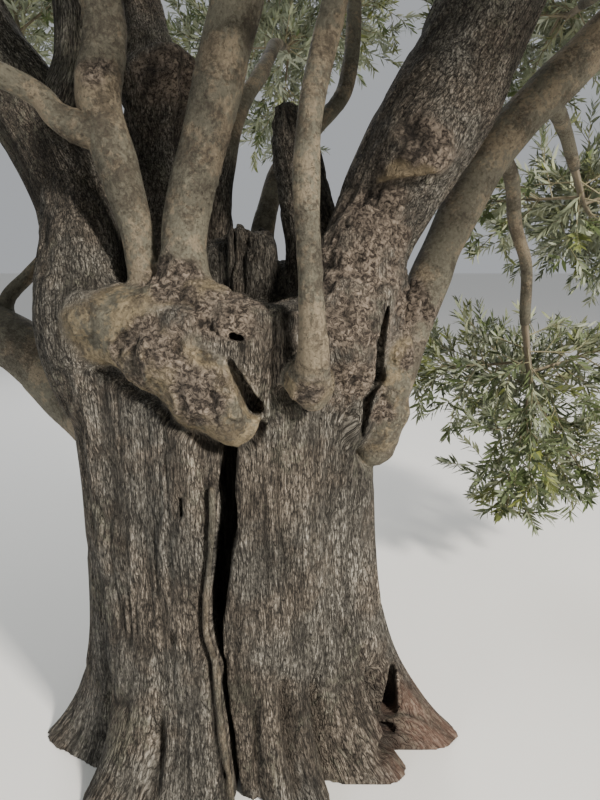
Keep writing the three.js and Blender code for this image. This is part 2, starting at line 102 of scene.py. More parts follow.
@dataclass(frozen=True)
class TrunkSizes:
    """Driving sizes of the trunk."""

    waist: float = 0.78
    half_width: float = 0.444
    half_depth: float = 0.382
    spread: float = 0.03
    rim: float = 1.5
    rim_tilt: float = 0.062
    bowl: float = 1.4
    lip_spread: float = 9.0
    lip_depth: float = 0.034
    flutes: tuple = ((5, 0.013, 0.9), (9, 0.008, 2.3))
    # Root buttresses: bearing, half spread in degrees, reach, climb
    roots: tuple = (
        (-10, 13, 0.29, 0.26),
        (-32, 10, 0.17, 0.17),
        (-58, 11, 0.17, 0.15),
        (-128, 15, 0.17, 0.15),
        (-166, 14, 0.15, 0.14),
        (150, 17, 0.21, 0.2),
        (98, 18, 0.19, 0.17),
        (40, 17, 0.22, 0.19),
    )
    # Creases between the roots and in the lobes: bearing, half spread in degrees, depth, lowest, highest
    creases: tuple = (
        (-21, 3.0, 0.075, -0.1, 0.36),
        (-46, 2.4, 0.042, -0.1, 0.42),
        (-61, 3.0, 0.056, -0.1, 0.45),
        (-73, 1.9, 0.028, -0.1, 0.38),
        (-102, 1.5, 0.022, 0.38, 0.62),
        (-116, 2.4, 0.04, -0.1, 0.32),
        (-143, 3.0, 0.045, -0.1, 0.4),
        (175, 3.5, 0.05, -0.1, 0.5),
        (124, 3.5, 0.055, -0.1, 0.62),
        (70, 3.5, 0.055, -0.1, 0.55),
        (14, 3.0, 0.05, -0.1, 0.42),
    )
    # The cleft: height, offset to the side, half width
    cleft: tuple = (
        (0.0, 0.06, 0.008),
        (0.172, 0.043, 0.01),
        (0.26, 0.035, 0.009),
        (0.35, 0.025, 0.007),
        (0.44, 0.023, 0.006),
        (0.48, 0.016, 0.009),
        (0.56, 0.006, 0.018),
        (0.64, 0.011, 0.023),
        (0.74, 0.028, 0.023),
        (0.84, 0.042, 0.027),
        (1.0, 0.046, 0.023),
        (1.09, 0.048, 0.022),
    )
    cleft_back: float = -0.15
    # How far the cleft's middle strays, and how rough its edges and the hollows' are
    cleft_wander: float = 0.004
    ragged: float = 0.003
    # The roll of new wood left of the cleft: how far aside, how far out, radius, unevenness and top
    roll_aside: float = 0.008
    roll_out: float = 0.01
    roll_radius: float = 0.011
    roll_uneven: float = 0.003
    roll_top: float = 0.98
    # The groove beside the roll: depth, how far from the roll, spread
    groove_depth: float = 0.01
    groove_at: float = 0.009
    groove_spread: float = 0.006
    # Swollen growths: centre, half sizes
    burls: tuple = (
        ((-0.19, -0.25, 1.38), (0.175, 0.135, 0.1)),
        ((-0.085, -0.3, 1.315), (0.14, 0.13, 0.105)),
        ((0.0, -0.33, 1.24), (0.115, 0.118, 0.112)),
        ((0.052, -0.345, 1.18), (0.078, 0.092, 0.092)),
        ((-0.278, -0.172, 1.346), (0.094, 0.092, 0.084)),
        ((0.265, -0.362, 1.254), (0.062, 0.08, 0.058)),
        ((0.464, -0.125, 1.055), (0.066, 0.07, 0.07)),
        ((0.498, -0.14, 1.128), (0.063, 0.068, 0.06)),
        ((0.506, -0.138, 1.205), (0.061, 0.07, 0.056)),
        ((0.514, -0.128, 1.28), (0.054, 0.068, 0.058)),
        ((-0.045, -0.285, 1.43), (0.12, 0.075, 0.075)),
    )
    # How far the trunk draws in under them: depth, how far from them, spread
    undercut: float = 0.044
    undercut_at: float = 0.012
    undercut_spread: float = 0.017
    # Lumps that keep the old bark: centre, half sizes
    old_lumps: tuple = (
        ((0.075, -0.295, 1.345), (0.088, 0.112, 0.122)),
        ((0.356, -0.215, 1.35), (0.1, 0.096, 0.17)),
        ((0.395, -0.165, 1.48), (0.095, 0.08, 0.15)),
        ((0.4, -0.18, 1.16), (0.05, 0.07, 0.12)),
    )
    # Dead, blocky wood between the boughs: centre, half sizes
    blocks: tuple = (
        ((0.088, 0.15, 1.49), (0.076, 0.11, 0.155)),
        ((0.005, 0.19, 1.45), (0.1, 0.115, 0.16)),
        ((0.175, 0.14, 1.39), (0.065, 0.095, 0.115)),
    )
    block_power: int = 4
    block_rough: float = 0.013
    block_cells: tuple = (0.055, 0.055, 0.12)
    # Old wood that runs up the front of a bough: points (x, y, z, radius)
    ribs: tuple = (
        ((-0.345, -0.15, 1.2, 0.08), (-0.358, -0.152, 1.4, 0.122), (-0.376, -0.104, 1.52, 0.122),
         (-0.405, -0.03, 1.63, 0.108), (-0.442, 0.038, 1.73, 0.088), (-0.478, 0.088, 1.81, 0.05)),
    )
    # Crusty patches of broken bark: centre, radius
    crusts: tuple = (
        ((-0.112, -0.37, 1.34), 0.095),
        ((-0.005, -0.43, 1.235), 0.085),
        ((-0.084, -0.31, 1.48), 0.09),
        ((0.05, -0.34, 1.41), 0.095),
        ((0.367, -0.32, 1.39), 0.12),
        ((0.375, -0.3, 1.25), 0.09),
        ((0.265, -0.43, 1.225), 0.05),
        ((0.405, -0.24, 1.54), 0.11),
        ((0.432, -0.209, 1.66), 0.105),
        ((0.33, -0.2, 1.56), 0.08),
        ((0.468, -0.205, 1.15), 0.05),
        ((0.545, -0.19, 1.3), 0.04),
        ((0.53, -0.13, 1.42), 0.11),
    )
    # Dark hollows: start, end, radius at each
    hollows: tuple = (
        ((0.071, -0.41, 1.308), (0.121, -0.382, 1.188), 0.009, 0.023),
        ((0.077, -0.385, 1.373), (0.096, -0.38, 1.369), 0.011, 0.011),
        ((0.545, -0.165, 0.29), (0.53, -0.18, 0.13), 0.01, 0.028),
        ((0.5, -0.25, 0.07), (0.53, -0.24, 0.066), 0.024, 0.024),
        ((0.415, -0.215, 1.06), (0.425, -0.24, 1.181), 0.006, 0.012),
        ((0.425, -0.24, 1.181), (0.461, -0.21, 1.235), 0.012, 0.014),
        ((0.461, -0.21, 1.235), (0.457, -0.235, 1.331), 0.014, 0.012),
        ((0.457, -0.235, 1.331), (0.478, -0.186, 1.447), 0.012, 0.007),
        ((-0.118, -0.372, 0.5), (-0.119, -0.372, 0.53), 0.007, 0.007),
        ((-0.072, -0.392, 0.9), (-0.074, -0.392, 0.945), 0.006, 0.006),
    )


@dataclass(frozen=True)
class Knot:
    """A swelling on a bough's front, cut flat below, with or without a smooth wound in the cut."""

    # Offset to the side and height of its middle
    x: float
    z: float
    radius: float
    depth: float
    # Height of the cut under the middle, how it rises to the side, and the wound's half width
    cut: float
    slope: float = 0.0
    wound: float = 0.0
    wound_x: float = 0.0
    wound_height: float = 0.05
    # Cut flat above in place of below
    flat_top: bool = False
    # How thick the bough is past the knot, as a share of its line's radius
    beyond: float = 1.0


@dataclass(frozen=True)
class BoughPlan:
    """A bough that rises from the trunk, by its points (x, y, z, radius)."""

    name: str
    bears: str | None
    points: tuple
    bark: Bark = Bark.SMOOTH
    knot: Knot | None = None
    # Height up to which a smooth bough keeps old bark
    old_below: float = 0.0
    # How widely its foot blends into the trunk
    blend: float = 0.035


@dataclass(frozen=True)
class BranchPlan:
    """A limb that leaves a bough part of the way along it."""

    name: str
    parent: str
    at: float
    bears: str
    radius: float
    via: tuple = ()
    # Height up to which it keeps old bark
    old_below: float = 0.0


BOUGHS = (
    BoughPlan("bough_left", "middle_4", (
        (-0.33, 0.03, 1.23, 0.15), (-0.4, 0.068, 1.565, 0.137), (-0.45, 0.1, 1.736, 0.134),
        (-0.59, 0.155, 1.985, 0.126), (-0.79, 0.205, 2.31, 0.11)), Bark.OLD, blend=0.07),
    BoughPlan("bough_left_low", "low_5", (
        (-0.33, 0.06, 0.985, 0.104), (-0.56, 0.118, 1.165, 0.096), (-0.69, 0.155, 1.262, 0.092),
        (-0.88, 0.2, 1.372, 0.088))),
    BoughPlan("bough_back_left", "middle_3", (
        (-0.18, 0.23, 1.33, 0.12), (-0.206, 0.31, 1.64, 0.108), (-0.228, 0.335, 1.83, 0.104),
        (-0.258, 0.362, 2.205, 0.096)), Bark.OLD,
        Knot(-0.19, 2.115, 0.105, 0.08, 2.2, flat_top=True, beyond=0.72)),
    BoughPlan("bough_front_left", "middle_5", (
        (-0.15, -0.19, 1.34, 0.044), (-0.178, -0.206, 1.53, 0.04), (-0.196, -0.2, 1.65, 0.044),
        (-0.24, -0.184, 1.8, 0.056), (-0.283, -0.16, 1.945, 0.062), (-0.268, -0.132, 2.205, 0.056)),
        knot=Knot(-0.275, 2.0, 0.05, 0.014, 1.93), blend=0.022),
    BoughPlan("bough_front", "middle_6", (
        (-0.066, -0.215, 1.33, 0.07), (-0.064, -0.24, 1.52, 0.063), (-0.058, -0.224, 1.655, 0.06),
        (-0.004, -0.2, 1.854, 0.059), (0.05, -0.182, 2.046, 0.061), (0.09, -0.168, 2.21, 0.062)),
        blend=0.025),
    BoughPlan("bough_front_right", "low_8", (
        (0.272, -0.36, 1.225, 0.04), (0.271, -0.431, 1.345, 0.034), (0.264, -0.428, 1.5, 0.03),
        (0.255, -0.396, 1.72, 0.03), (0.268, -0.35, 1.912, 0.03), (0.318, -0.3, 2.14, 0.03)),
        blend=0.012),
    BoughPlan("bough_right", "middle_1", (
        (0.368, -0.07, 1.24, 0.112), (0.437, -0.08, 1.59, 0.118), (0.489, -0.07, 1.719, 0.132),
        (0.561, -0.06, 1.853, 0.141), (0.662, -0.03, 2.027, 0.146), (0.772, 0.0, 2.26, 0.14)),
        Bark.OLD, Knot(0.555, 1.835, 0.095, 0.052, 1.778, 0.18, 0.072, 0.512), blend=0.07),
    BoughPlan("bough_right_low", "low_1", (
        (0.462, -0.112, 1.01, 0.052), (0.5, -0.126, 1.13, 0.05), (0.522, -0.126, 1.215, 0.05),
        (0.56, -0.092, 1.33, 0.055), (0.612, -0.024, 1.46, 0.06), (0.676, 0.05, 1.59, 0.061),
        (0.765, 0.108, 1.765, 0.063), (0.87, 0.165, 1.92, 0.066), (1.19, 0.25, 2.245, 0.066)),
        blend=0.012),
    BoughPlan("bough_back", "low_3", (
        (-0.02, 0.24, 1.4, 0.052), (-0.034, 0.288, 1.648, 0.045), (-0.038, 0.43, 1.834, 0.038),
        (0.012, 0.61, 2.106, 0.033), (0.095, 0.76, 2.29, 0.03)), old_below=1.93),
    BoughPlan("bough_back_right", "middle_2", (
        (0.09, 0.27, 1.42, 0.046), (0.112, 0.352, 1.668, 0.038), (0.17, 0.5, 1.88, 0.035),
        (0.3, 0.655, 2.065, 0.034), (0.43, 0.8, 2.245, 0.033))),
    BoughPlan("stub_middle", None, (
        (0.335, 0.035, 1.43, 0.088), (0.287, 0.074, 1.6, 0.08), (0.262, 0.092, 1.725, 0.08),
        (0.232, 0.108, 1.86, 0.074), (0.206, 0.118, 1.975, 0.05), (0.199, 0.12, 2.01, 0.024)), Bark.OLD),
)

BRANCHES = (
    BranchPlan("branch_left_front", "bough_front_left", 0.49, "low_6", 0.033,
               ((-0.415, -0.205, 1.955, 0.03), (-0.56, -0.262, 2.03, 0.028))),
    BranchPlan("branch_left_back", "bough_left_low", 0.46, "low_4", 0.025,
               ((-0.722, 0.318, 1.5, 0.023), (-0.675, 0.41, 1.59, 0.022), (-0.7, 0.59, 1.76, 0.022))),
    BranchPlan("branch_left_upper", "bough_left", 0.44, "upper_2", 0.07, old_below=3.2),
    BranchPlan("branch_front_low", "bough_front", 0.74, "low_7", 0.034),
    BranchPlan("branch_right_front", "bough_right", 0.72, "low_9", 0.048),
    BranchPlan("branch_right_back", "bough_right_low", 0.84, "low_2", 0.038),
    BranchPlan("branch_right_middle", "bough_right", 0.8, "middle_7", 0.05),
    BranchPlan("branch_upper_right", "bough_right", 0.88, "upper_1", 0.044),
    BranchPlan("branch_upper_left", "bough_front_left", 0.8, "upper_3", 0.04),
    BranchPlan("branch_upper_front", "bough_front", 0.84, "upper_4", 0.04),
    BranchPlan("branch_top", "bough_back_left", 0.8, "top_1", 0.046),
    BranchPlan("branch_hanging", "bough_right_low", 0.74, "skirt_1", 0.03),
    BranchPlan("branch_hanging_low", "bough_right_low", 0.66, "skirt_2", 0.026),
)


@dataclass(frozen=True)
class CrownRule:
    """The crown's tiers and the rule by which a mass of leaves grows."""

    seed: int = 4211
    # Tiers: name, masses, first bearing in degrees, reach, height, size
    tiers: tuple = (
        ("low", 9, 5, 2.23, 2.8, 0.9),
        ("middle", 7, 18, 1.7, 3.78, 0.93),
        ("upper", 4, 48, 0.86, 4.7, 0.88),
        ("top", 1, 0, 0.06, 5.27, 0.78),
    )
    skirt: tuple = (((1.56, 1.01, 1.78), 0.72), ((1.33, 0.9, 0.98), 0.7))
    wander_side: float = 0.15
    wander_height: float = 0.13
    wander_size: float = 0.06
    fork_angle: float = 0.9
    fork_margin: float = 0.026
    tip_radius: float = 0.021
    twigs: int = 6
    blade: float = 0.42
    blade_width: float = 0.15
    splay: float = 0.75
    pair: float = 0.62
    clear_space: float = 0.014
    clear_limb: float = 0.022
    clear_ground: float = 0.18
    seam: float = 0.0003


class EvenRandom:
    """Even random numbers from 0 to 1, the same as the source's."""

    def __init__(self, seed: int) -> None:
        """Start from a seed."""
        self.state = seed

    def draw(self) -> float:
        """Give the next number."""
        self.state = (self.state * 16807) % 2147483647
        return self.state / 2147483647


def unit(v: Array) -> Array:
    """Scale vectors to length one, along the last axis."""
    return v / np.maximum(np.linalg.norm(v, axis=-1, keepdims=True), 1e-9)


def mix(a: float, b: float, share: float) -> float:
    """Blend from a to b."""
    return a + (b - a) * share


def smooth_step(value: Array, low: float, high: float) -> Array:
    """Rise smoothly from 0 at low to 1 at high."""
    t = np.clip((value - low) / (high - low), 0.0, 1.0)
    return t * t * (3 - 2 * t)


def square_to(heading: Array) -> tuple[Array, Array]:
    """Give two directions square to each heading.

    Args:
        heading: unit vectors, one in each row.

    Returns:
        Two arrays of unit vectors.
    """
    side = unit(np.stack([-heading[..., 1], heading[..., 0], np.full(heading.shape[:-1], 0.001)], -1))
    return side, unit(np.cross(heading, side))


def turned(heading: Array, tilt: Array, roll: Array) -> Array:
    """Tilt headings away from themselves, in the direction that roll gives.

    Args:
        heading: unit vectors, one in each row.
        tilt: angle away from the heading.
        roll: angle round the heading.

    Returns:
        The new unit vectors.
    """
    side, other = square_to(heading)
    tilt, roll = np.asarray(tilt)[..., None], np.asarray(roll)[..., None]
    return unit(heading * np.cos(tilt) + np.sin(tilt) * (side * np.cos(roll) + other * np.sin(roll)))


class LimbLine:
    """The centre line of a limb: a centripetal curve through its points, with its radius."""

    def __init__(self, points: tuple | list) -> None:
        """Take the points (x, y, z, radius).

        Args:
            points: control points, one in each row.
        """
        self.points = np.array(points, float)
        centres = self.points[:, :3]
        first, last = 2 * centres[0] - centres[1], 2 * centres[-1] - centres[-2]
        self.padded = np.vstack([first, centres, last])

    def place(self, share: Array | float) -> Array:
        """Give the places at shares of the control points.

        Args:
            share: one share from 0 to 1, or several.

        Returns:
            One place, or one in each row.
        """
        share = np.atleast_1d(np.asarray(share, float))
        spans = len(self.points) - 1
        step = np.minimum((share * spans).astype(int), spans - 1)
        t = (share * spans - step)[:, None]
        p0, p1, p2, p3 = (self.padded[step + k] for k in range(4))
        ends = ((p0, p1), (p1, p2), (p2, p3))
        gap = [np.sqrt(np.linalg.norm(b - a, axis=1, keepdims=True)) for a, b in ends]
        out = ((p1 - p0) / gap[0] - (p2 - p0) / (gap[0] + gap[1]) + (p2 - p1) / gap[1]) * gap[1]
        into = ((p2 - p1) / gap[1] - (p3 - p1) / (gap[1] + gap[2]) + (p3 - p2) / gap[2]) * gap[1]
        cubic = p1 + out * t + (3 * (p2 - p1) - 2 * out - into) * t**2 + (2 * (p1 - p2) + out + into) * t**3
        return cubic if len(cubic) > 1 else cubic[0]

    def heading(self, share: float) -> Array:
        """Give the direction at a share."""
        low, high = max(share - 1e-4, 0.0), min(share + 1e-4, 1.0)
        return unit(self.place(high) - self.place(low))

    def radius(self, share: Array | float) -> Array | float:
        """Give the radius at shares of the control points."""
        count = len(self.points)
        return np.interp(np.asarray(share) * (count - 1), np.arange(count), self.points[:, 3])


@dataclass
class Mass:
    """A mass of foliage: a ball of space round its centre."""

    name: str
    centre: Array
    size: float
    seed: int = 0
    limb: "Limb | None" = None


@dataclass
class Limb:
    """A bough or branch with its line, measured in small steps."""

    name: str
    line: LimbLine
    bark: Bark
    order: int
    parent: str | None = None
    knot: Knot | None = None
    old_below: float = 0.0
    blend: float = 0.035
    # How far boughs and branches stray from their lines, and over what length
    bough_stray: float = 0.01
    branch_stray: float = 0.03
    stray_length: float = 0.28
    # How much they swell and narrow, and over what length
    swell: float = 0.07
    swell_length: float = 0.13

    def __post_init__(self) -> None:
        """Measure the line."""
        self.shares = np.linspace(0, 1, 700)
        self.path = self.line.place(self.shares)
        self.walked = np.concatenate([[0], np.cumsum(np.linalg.norm(np.diff(self.path, axis=0), axis=1))])
        seam_share = 1 / (len(self.line.points) - 1)
        self.seam_at = float(np.interp(seam_share, self.shares, self.walked))
        self.girth = float(self.line.radius(seam_share))
        self.sides, self.others = carried_frames(self.path)
        self.stretch = 2.0 if self.bark is Bark.OLD else 1.0

    def at(self, along: Array) -> tuple[Array, Array, Array, Array]:
        """Give places, radii and square directions at distances along the line.

        Args:
            along: distances from the line's start.

        Returns:
            Places, radii and two directions for each.
        """
        shares = np.interp(along, self.walked, self.shares)
        pick = np.clip((shares * (len(self.shares) - 1)).round().astype(int), 0, len(self.shares) - 1)
        sides, others = self.sides[pick], self.others[pick]
        # Past its seam the limb strays, swells and narrows a little, and it comes back to its line at the end
        end, none = self.walked[-1], along * 0
        free = smooth_step(along, self.seam_at + 0.1, self.seam_at + 0.5) * smooth_step(end - along, 0.0, 0.3)
        far, row = along / self.stray_length, none + 7.3 * self.order
        stray, other_stray = (noise(np.stack([far, row + k, none], 1), Seed.LIMB_STRAY) for k in (0, 3))
        reach = (self.bough_stray if self.parent is None else self.branch_stray) * free
        places = self.line.place(shares) + sides * (stray * reach)[:, None]
        places = places + others * (other_stray * reach)[:, None]
        far, row = along / self.swell_length, none + 5.1 * self.order
        swell = noise(np.stack([far, row, none], 1), Seed.LIMB_SWELL)
        return places, self.line.radius(shares) * (1 + self.swell * swell * free), sides, others

    def grain(self, cosine: Array, sine: Array, along: Array) -> Array:
        """Give bark coordinates: two across the grain and one along it, apart from every other limb's."""
        around = np.stack([cosine * self.girth, sine * self.girth, along * self.stretch], -1)
        return around + 0.37 * (self.order + 1)

    def bark_at(self, grain: Array, height: Array) -> tuple[Array, Array, Array]:
        """Give the bark's relief, its dark furrows with painted shade, and how young it is.

        Args:
            grain: bark coordinates, one in each row.
            height: how high each place is.

        Returns:
            Relief, mask of dark furrows and painted shade, and 1 where the bark is young.
        """
        if self.bark is Bark.OLD:
            up, deep = RELIEF.old(grain)
            return up * min(1.0, self.girth / 0.11), deep, np.zeros(len(grain))
        up, deep = RELIEF.smooth(grain)
        young = np.ones(len(grain))
        if self.old_below:
            young = smooth_step(height, self.old_below - 0.12, self.old_below + 0.08)
            up_old, deep_old = RELIEF.old(grain)
            up, deep = mix(up_old * 0.6, up, young), mix(deep_old, deep, young)
        return up * min(1.0, self.girth / 0.05), deep, young


@dataclass
class Growth:
    """Stem, twigs and spray directions of one mass, as the source's rule gives them."""

    stem: Array
    # Twigs: from, to, end
    twigs: list = field(default_factory=list)
    # Sprays: base, direction
    sprays: list = field(default_factory=list)


class TreePlan:
    """Masses, limbs and the rule of growth, worked out as in the source."""

    def __init__(self, rule: CrownRule) -> None:
        """Plan the whole tree.

        Args:
            rule: the crown's rule.
        """
        self.rule = rule
        self.masses = self.plan_masses()
        self.limbs = self.plan_limbs()
        self.centres = np.array([m.centre for m in self.masses])
        self.sizes = np.array([m.size for m in self.masses])
        shares = np.linspace(0, 1, 41)
        self.ball_centres = np.vstack([limb.line.place(shares) for limb in self.limbs.values()])
        self.ball_radii = np.concatenate([limb.line.radius(shares) for limb in self.limbs.values()])

    def plan_masses(self) -> list[Mass]:
        """Set out the masses tier by tier.

        Returns:
            The masses.
        """
        rule, random, masses = self.rule, EvenRandom(self.rule.seed), []
        for name, count, first, reach, height, size in rule.tiers:
            for i in range(count):
                bearing = math.radians(first + i * 360 / count)
                side = reach + (random.draw() * 2 - 1) * rule.wander_side
                z = height + (random.draw() * 2 - 1) * rule.wander_height
                ball = size + (random.draw() * 2 - 1) * rule.wander_size
                centre = np.array([side * math.cos(bearing), side * math.sin(bearing), z])
                masses.append(Mass(f"{name}_{i + 1}", centre, ball))
        for i, (centre, size) in enumerate(rule.skirt):
            masses.append(Mass(f"skirt_{i + 1}", np.array(centre), size))
        for i, mass in enumerate(masses):
            mass.seed = rule.seed + 97 * (i + 1)
        return masses

    def reach_mass(self, points: list, mass: Mass) -> list:
        """Add a limb's last stretch, which arches over to its mass.

        Args:
            points: the limb's control points.
            mass: the mass.

        Returns:
            The control points with the new ones.
        """
        start, radius = np.array(points[-1][:3]), points[-1][3]
        tip = mass.centre + unit(start - mass.centre) * mass.size * 0.62
        middle = (start + tip) / 2
        middle[2] += np.linalg.norm(tip - start) * 0.06
        tip_radius = self.rule.tip_radius
        return [*points, (*middle, mix(radius, tip_radius, 0.5)), (*tip, tip_radius)]

    def plan_limbs(self) -> dict[str, Limb]:
        """Work out every bough and branch.

        Returns:
            The limbs by name.
        """
        rule, limbs = self.rule, {}
        by_name = {mass.name: mass for mass in self.masses}
        for plan in BOUGHS:
            points = list(plan.points)
            if plan.bears:
                points = self.reach_mass(points, by_name[plan.bears])
            limbs[plan.name] = Limb(plan.name, LimbLine(points), plan.bark, len(limbs), None, plan.knot,
                                    plan.old_below, plan.blend)
            if plan.bears:
                by_name[plan.bears].limb = limbs[plan.name]
        for plan in BRANCHES:
            parent, mass = limbs[plan.parent], by_name[plan.bears]
            start = parent.line.place(plan.at)
            along = parent.line.heading(plan.at)
            goal = np.array(plan.via[0][:3]) if plan.via else mass.centre
            aside = goal - start
            aside = unit(aside - along * aside.dot(along))
            lean, spread = math.cos(rule.fork_angle), math.sin(rule.fork_angle)
            girth = float(parent.line.radius(plan.at))
            clear = (girth + plan.radius * lean) / spread + rule.fork_margin
            seam = start + (along * lean + aside * spread) * clear
            points = [(*start, plan.radius), (*seam, plan.radius), *plan.via]
            line = LimbLine(self.reach_mass(points, mass))
            limb = Limb(plan.name, line, Bark.SMOOTH, len(limbs), plan.parent, old_below=plan.old_below)
            limbs[plan.name] = mass.limb = limb
        return limbs

    def room(self, index: int, start: Array, heading: Array) -> Array:
        """Measure how far rays go before they leave a mass's own space.

        Args:
            index: which mass.
            start: places inside it, one in each row.
            heading: unit vectors, one in each row.

        Returns:
            The free length of each ray.
        """
        rule, centre, size = self.rule, self.centres[index], self.sizes[index]
        to_centre = centre - start
        near = np.sum(to_centre * heading, -1)
        inside = size**2 - np.sum(to_centre**2, -1) + near**2
        room = np.where(inside > 0, near + np.sqrt(np.maximum(inside, 0)), 0.0)
        for other in range(len(self.masses)):
            if other == index:
                continue
            apart = self.centres[other] - centre
            approach = heading @ apart
            toward = approach > 1e-9
            safe = np.where(toward, approach, 1.0)
            border = (self.centres[other].dot(self.centres[other]) - centre.dot(centre)
                      + size**2 - self.sizes[other] ** 2) / 2
            gap = (border - start @ apart) / safe - rule.clear_space * np.linalg.norm(apart) / safe
            room = np.where(toward, np.minimum(room, gap), room)
        down = heading[..., 2] < 0
        floor = (rule.clear_ground - start[..., 2]) / np.where(down, heading[..., 2], 1.0)
        room = np.where(down, np.minimum(room, floor), room)
        return np.where(inside > 0, room - rule.clear_space, 0.0)

    def touches_wood(self, start: Array, end: Array, girth: float) -> Array:
        """Tell which lines come too near a limb.

        Args:
            start: first ends, one in each row.
            end: second ends, one in each row.
            girth: half thickness of what lies along the line.

        Returns:
            True for each line that touches.
        """
        span = end - start
        length_sq = np.maximum(np.sum(span**2, -1), 1e-12)[:, None]
        to_ball = self.ball_centres[None] - start[:, None]
        share = np.clip(np.sum(to_ball * span[:, None], -1) / length_sq, 0, 1)
        gap = np.linalg.norm(to_ball - share[..., None] * span[:, None], axis=-1)
        return np.any(gap < self.ball_radii + girth + self.rule.clear_limb, axis=1)

    def grow(self, index: int) -> Growth:
        """Grow a mass's stem, twigs and sprays by the source's rule.

        Args:
            index: which mass.

        Returns:
            Its growth.
        """
        rule, mass = self.rule, self.masses[index]
        random = EvenRandom(mass.seed)
        root, heading = mass.limb.line.place(1.0), mass.limb.line.heading(1.0)
        start = root + heading * rule.seam
        far = mass.centre + unit(mass.centre - root) * mass.size * 0.3
        bend = start + heading * np.linalg.norm(far - start) * 0.4
        growth = Growth(np.array([start, bend, far]))
        along = unit(far - bend)
        for i in range(rule.twigs):
            share = 0.3 + 0.7 * (i + 0.5) / rule.twigs
            base = mix(start, bend, share / 0.4) if share < 0.4 else mix(bend, far, (share - 0.4) / 0.6)
            roll = i * GOLDEN_ANGLE + random.draw() * 0.5
            tilt = mix(1.9, 0.35, share) + (random.draw() - 0.5) * 0.3
            out = turned(along, tilt, roll)
            out[2] += 0.12 - 0.25 * random.draw()
            out = unit(out)
            spin = random.draw()
            length = float(self.room(index, base[None], out[None])[0]) - rule.blade
            tip, end = base + out * length, base + out * (length + rule.blade)
            if length < rule.blade / 4 or self.touches_wood(base[None], end[None], rule.blade_width / 2)[0]:
                continue
            growth.twigs.append((base, tip, end))
            at = mix(base, tip, rule.pair)
            for side in (0.0, math.pi):
                lay = turned(out, rule.splay, spin * 2 * math.pi + side)
                growth.sprays.append((at, lay))
        return growth


# Noise and relief of the bark


def hashed(x: Array, y: Array, z: Array, seed: int) -> Array:
    """Give each lattice corner its own number from -1 to 1.

    Args:
        x: lattice places in X.
        y: in Y.
        z: in Z.
        seed: which field of numbers.

    Returns:
        A number for each corner.
    """
    h = x.astype(np.uint32) * np.uint32(0x8DA6B343)
    h ^= y.astype(np.uint32) * np.uint32(0xD8163841)
    h ^= z.astype(np.uint32) * np.uint32(0xCB1AB31F)
    h ^= np.uint32(seed * 2654435 & 0xFFFFFFFF)
    h ^= h >> np.uint32(13)
    h *= np.uint32(0x5BD1E995)
    h ^= h >> np.uint32(15)
    return h.astype(np.float32) * np.float32(2 / 4294967295) - np.float32(1)


def noise(points: Array, seed: int) -> Array:
    """Give smooth value noise.

    Args:
        points: places in cells of the noise, one in each row.
        seed: which noise.

    Returns:
        One number from -1 to 1 for each place.
    """
    base = np.floor(points).astype(np.int32)
    t = (points - base).astype(np.float32)
    t = t * t * (3 - 2 * t)
    total = np.zeros(len(points), np.float32)
    for dx in (0, 1):
        wx = t[:, 0] if dx else 1 - t[:, 0]
        for dy in (0, 1):
            wy = wx * (t[:, 1] if dy else 1 - t[:, 1])
            for dz in (0, 1):
                weight = wy * (t[:, 2] if dz else 1 - t[:, 2])
                total += weight * hashed(base[:, 0] + dx, base[:, 1] + dy, base[:, 2] + dz, seed)
    return total


@dataclass(frozen=True)
class Relief:
    """How far the bark stands out or sinks, from its coordinates: two across the grain and one along."""

    seed: int = 11

    @staticmethod
    def cracks(grain: Array, across: float, along: float, seed: int, width: float) -> Array:
        """Give winding lines along the grain, 1 at their bottoms."""
        warp = noise(grain / (0.11, 0.11, 0.24), seed + 1)[:, None] * (0.01, 0.01, 0.02)
        return np.clip(1 - np.abs(noise((grain + warp) / (across, across, along), seed)) / width, 0, 1)

    def old(self, grain: Array) -> tuple[Array, Array]:
        """Give the height of old bark, and the mask of its dark furrows and of painted shade in the troughs
        of its waves.

        Args:
            grain: bark coordinates.

        Returns:
            Heights and masks.
        """
        wide = self.cracks(grain, 0.026, 0.19, self.seed, 0.26)
        waves = noise(grain / (0.065, 0.065, 0.42), self.seed + 9)
        folds = noise(grain / (0.15, 0.15, 0.8), self.seed + 12)
        height = 0.013 * folds + 0.01 * waves - 0.0075 * wide + 0.002
        # The broad troughs of the relief are darkened: painted shade
        shaded_valleys = smooth_step(-waves - 0.7 * folds, 0.05, 0.8)
        return height, np.clip(wide**1.4 * 0.75 + 0.4 * shaded_valleys, 0, 1)

    def smooth(self, grain: Array) -> tuple[Array, Array]:
        """Give the height and the pit mask of young bark.

        Args:
            grain: bark coordinates.

        Returns:
            Heights and masks.
        """
        lumps = noise(grain / (0.06, 0.06, 0.11), self.seed + 20)
        patch = smooth_step(noise(grain / 0.16, self.seed + 21), 0.1, 0.5)
        warts = smooth_step(noise(grain / (0.013, 0.013, 0.011), self.seed + 22), 0.1, 0.6)
        return 0.0045 * lumps + 0.003 * patch * warts, patch * (1 - warts) * 0.5

    def burl(self, place: Array) -> tuple[Array, Array]:
        """Give the height and the pit mask of swollen wood.

        Args:
            place: places, one in each row.

        Returns:
            Heights and masks.
        """
        height = noise(place / 0.075, self.seed + 30) * 0.016 + noise(place / 0.034, self.seed + 31) * 0.009
        folds = self.cracks(place, 0.09, 0.11, self.seed + 34, 0.07)
        return height - 0.007 * folds, folds * 0.5

    def crust(self, place: Array) -> tuple[Array, Array]:
        """Give the height and the pit mask of broken, corky bark.

        Args:
            place: places, one in each row.

        Returns:
            Heights and masks.
        """
        flakes = noise(place / (0.024, 0.024, 0.036), self.seed + 40)
        small = noise(place / (0.013, 0.013, 0.02), self.seed + 41)
        return 0.009 * flakes + 0.006 * small, smooth_step(-flakes - 0.8 * small, 0.15, 0.9) * 0.8


RELIEF = Relief()


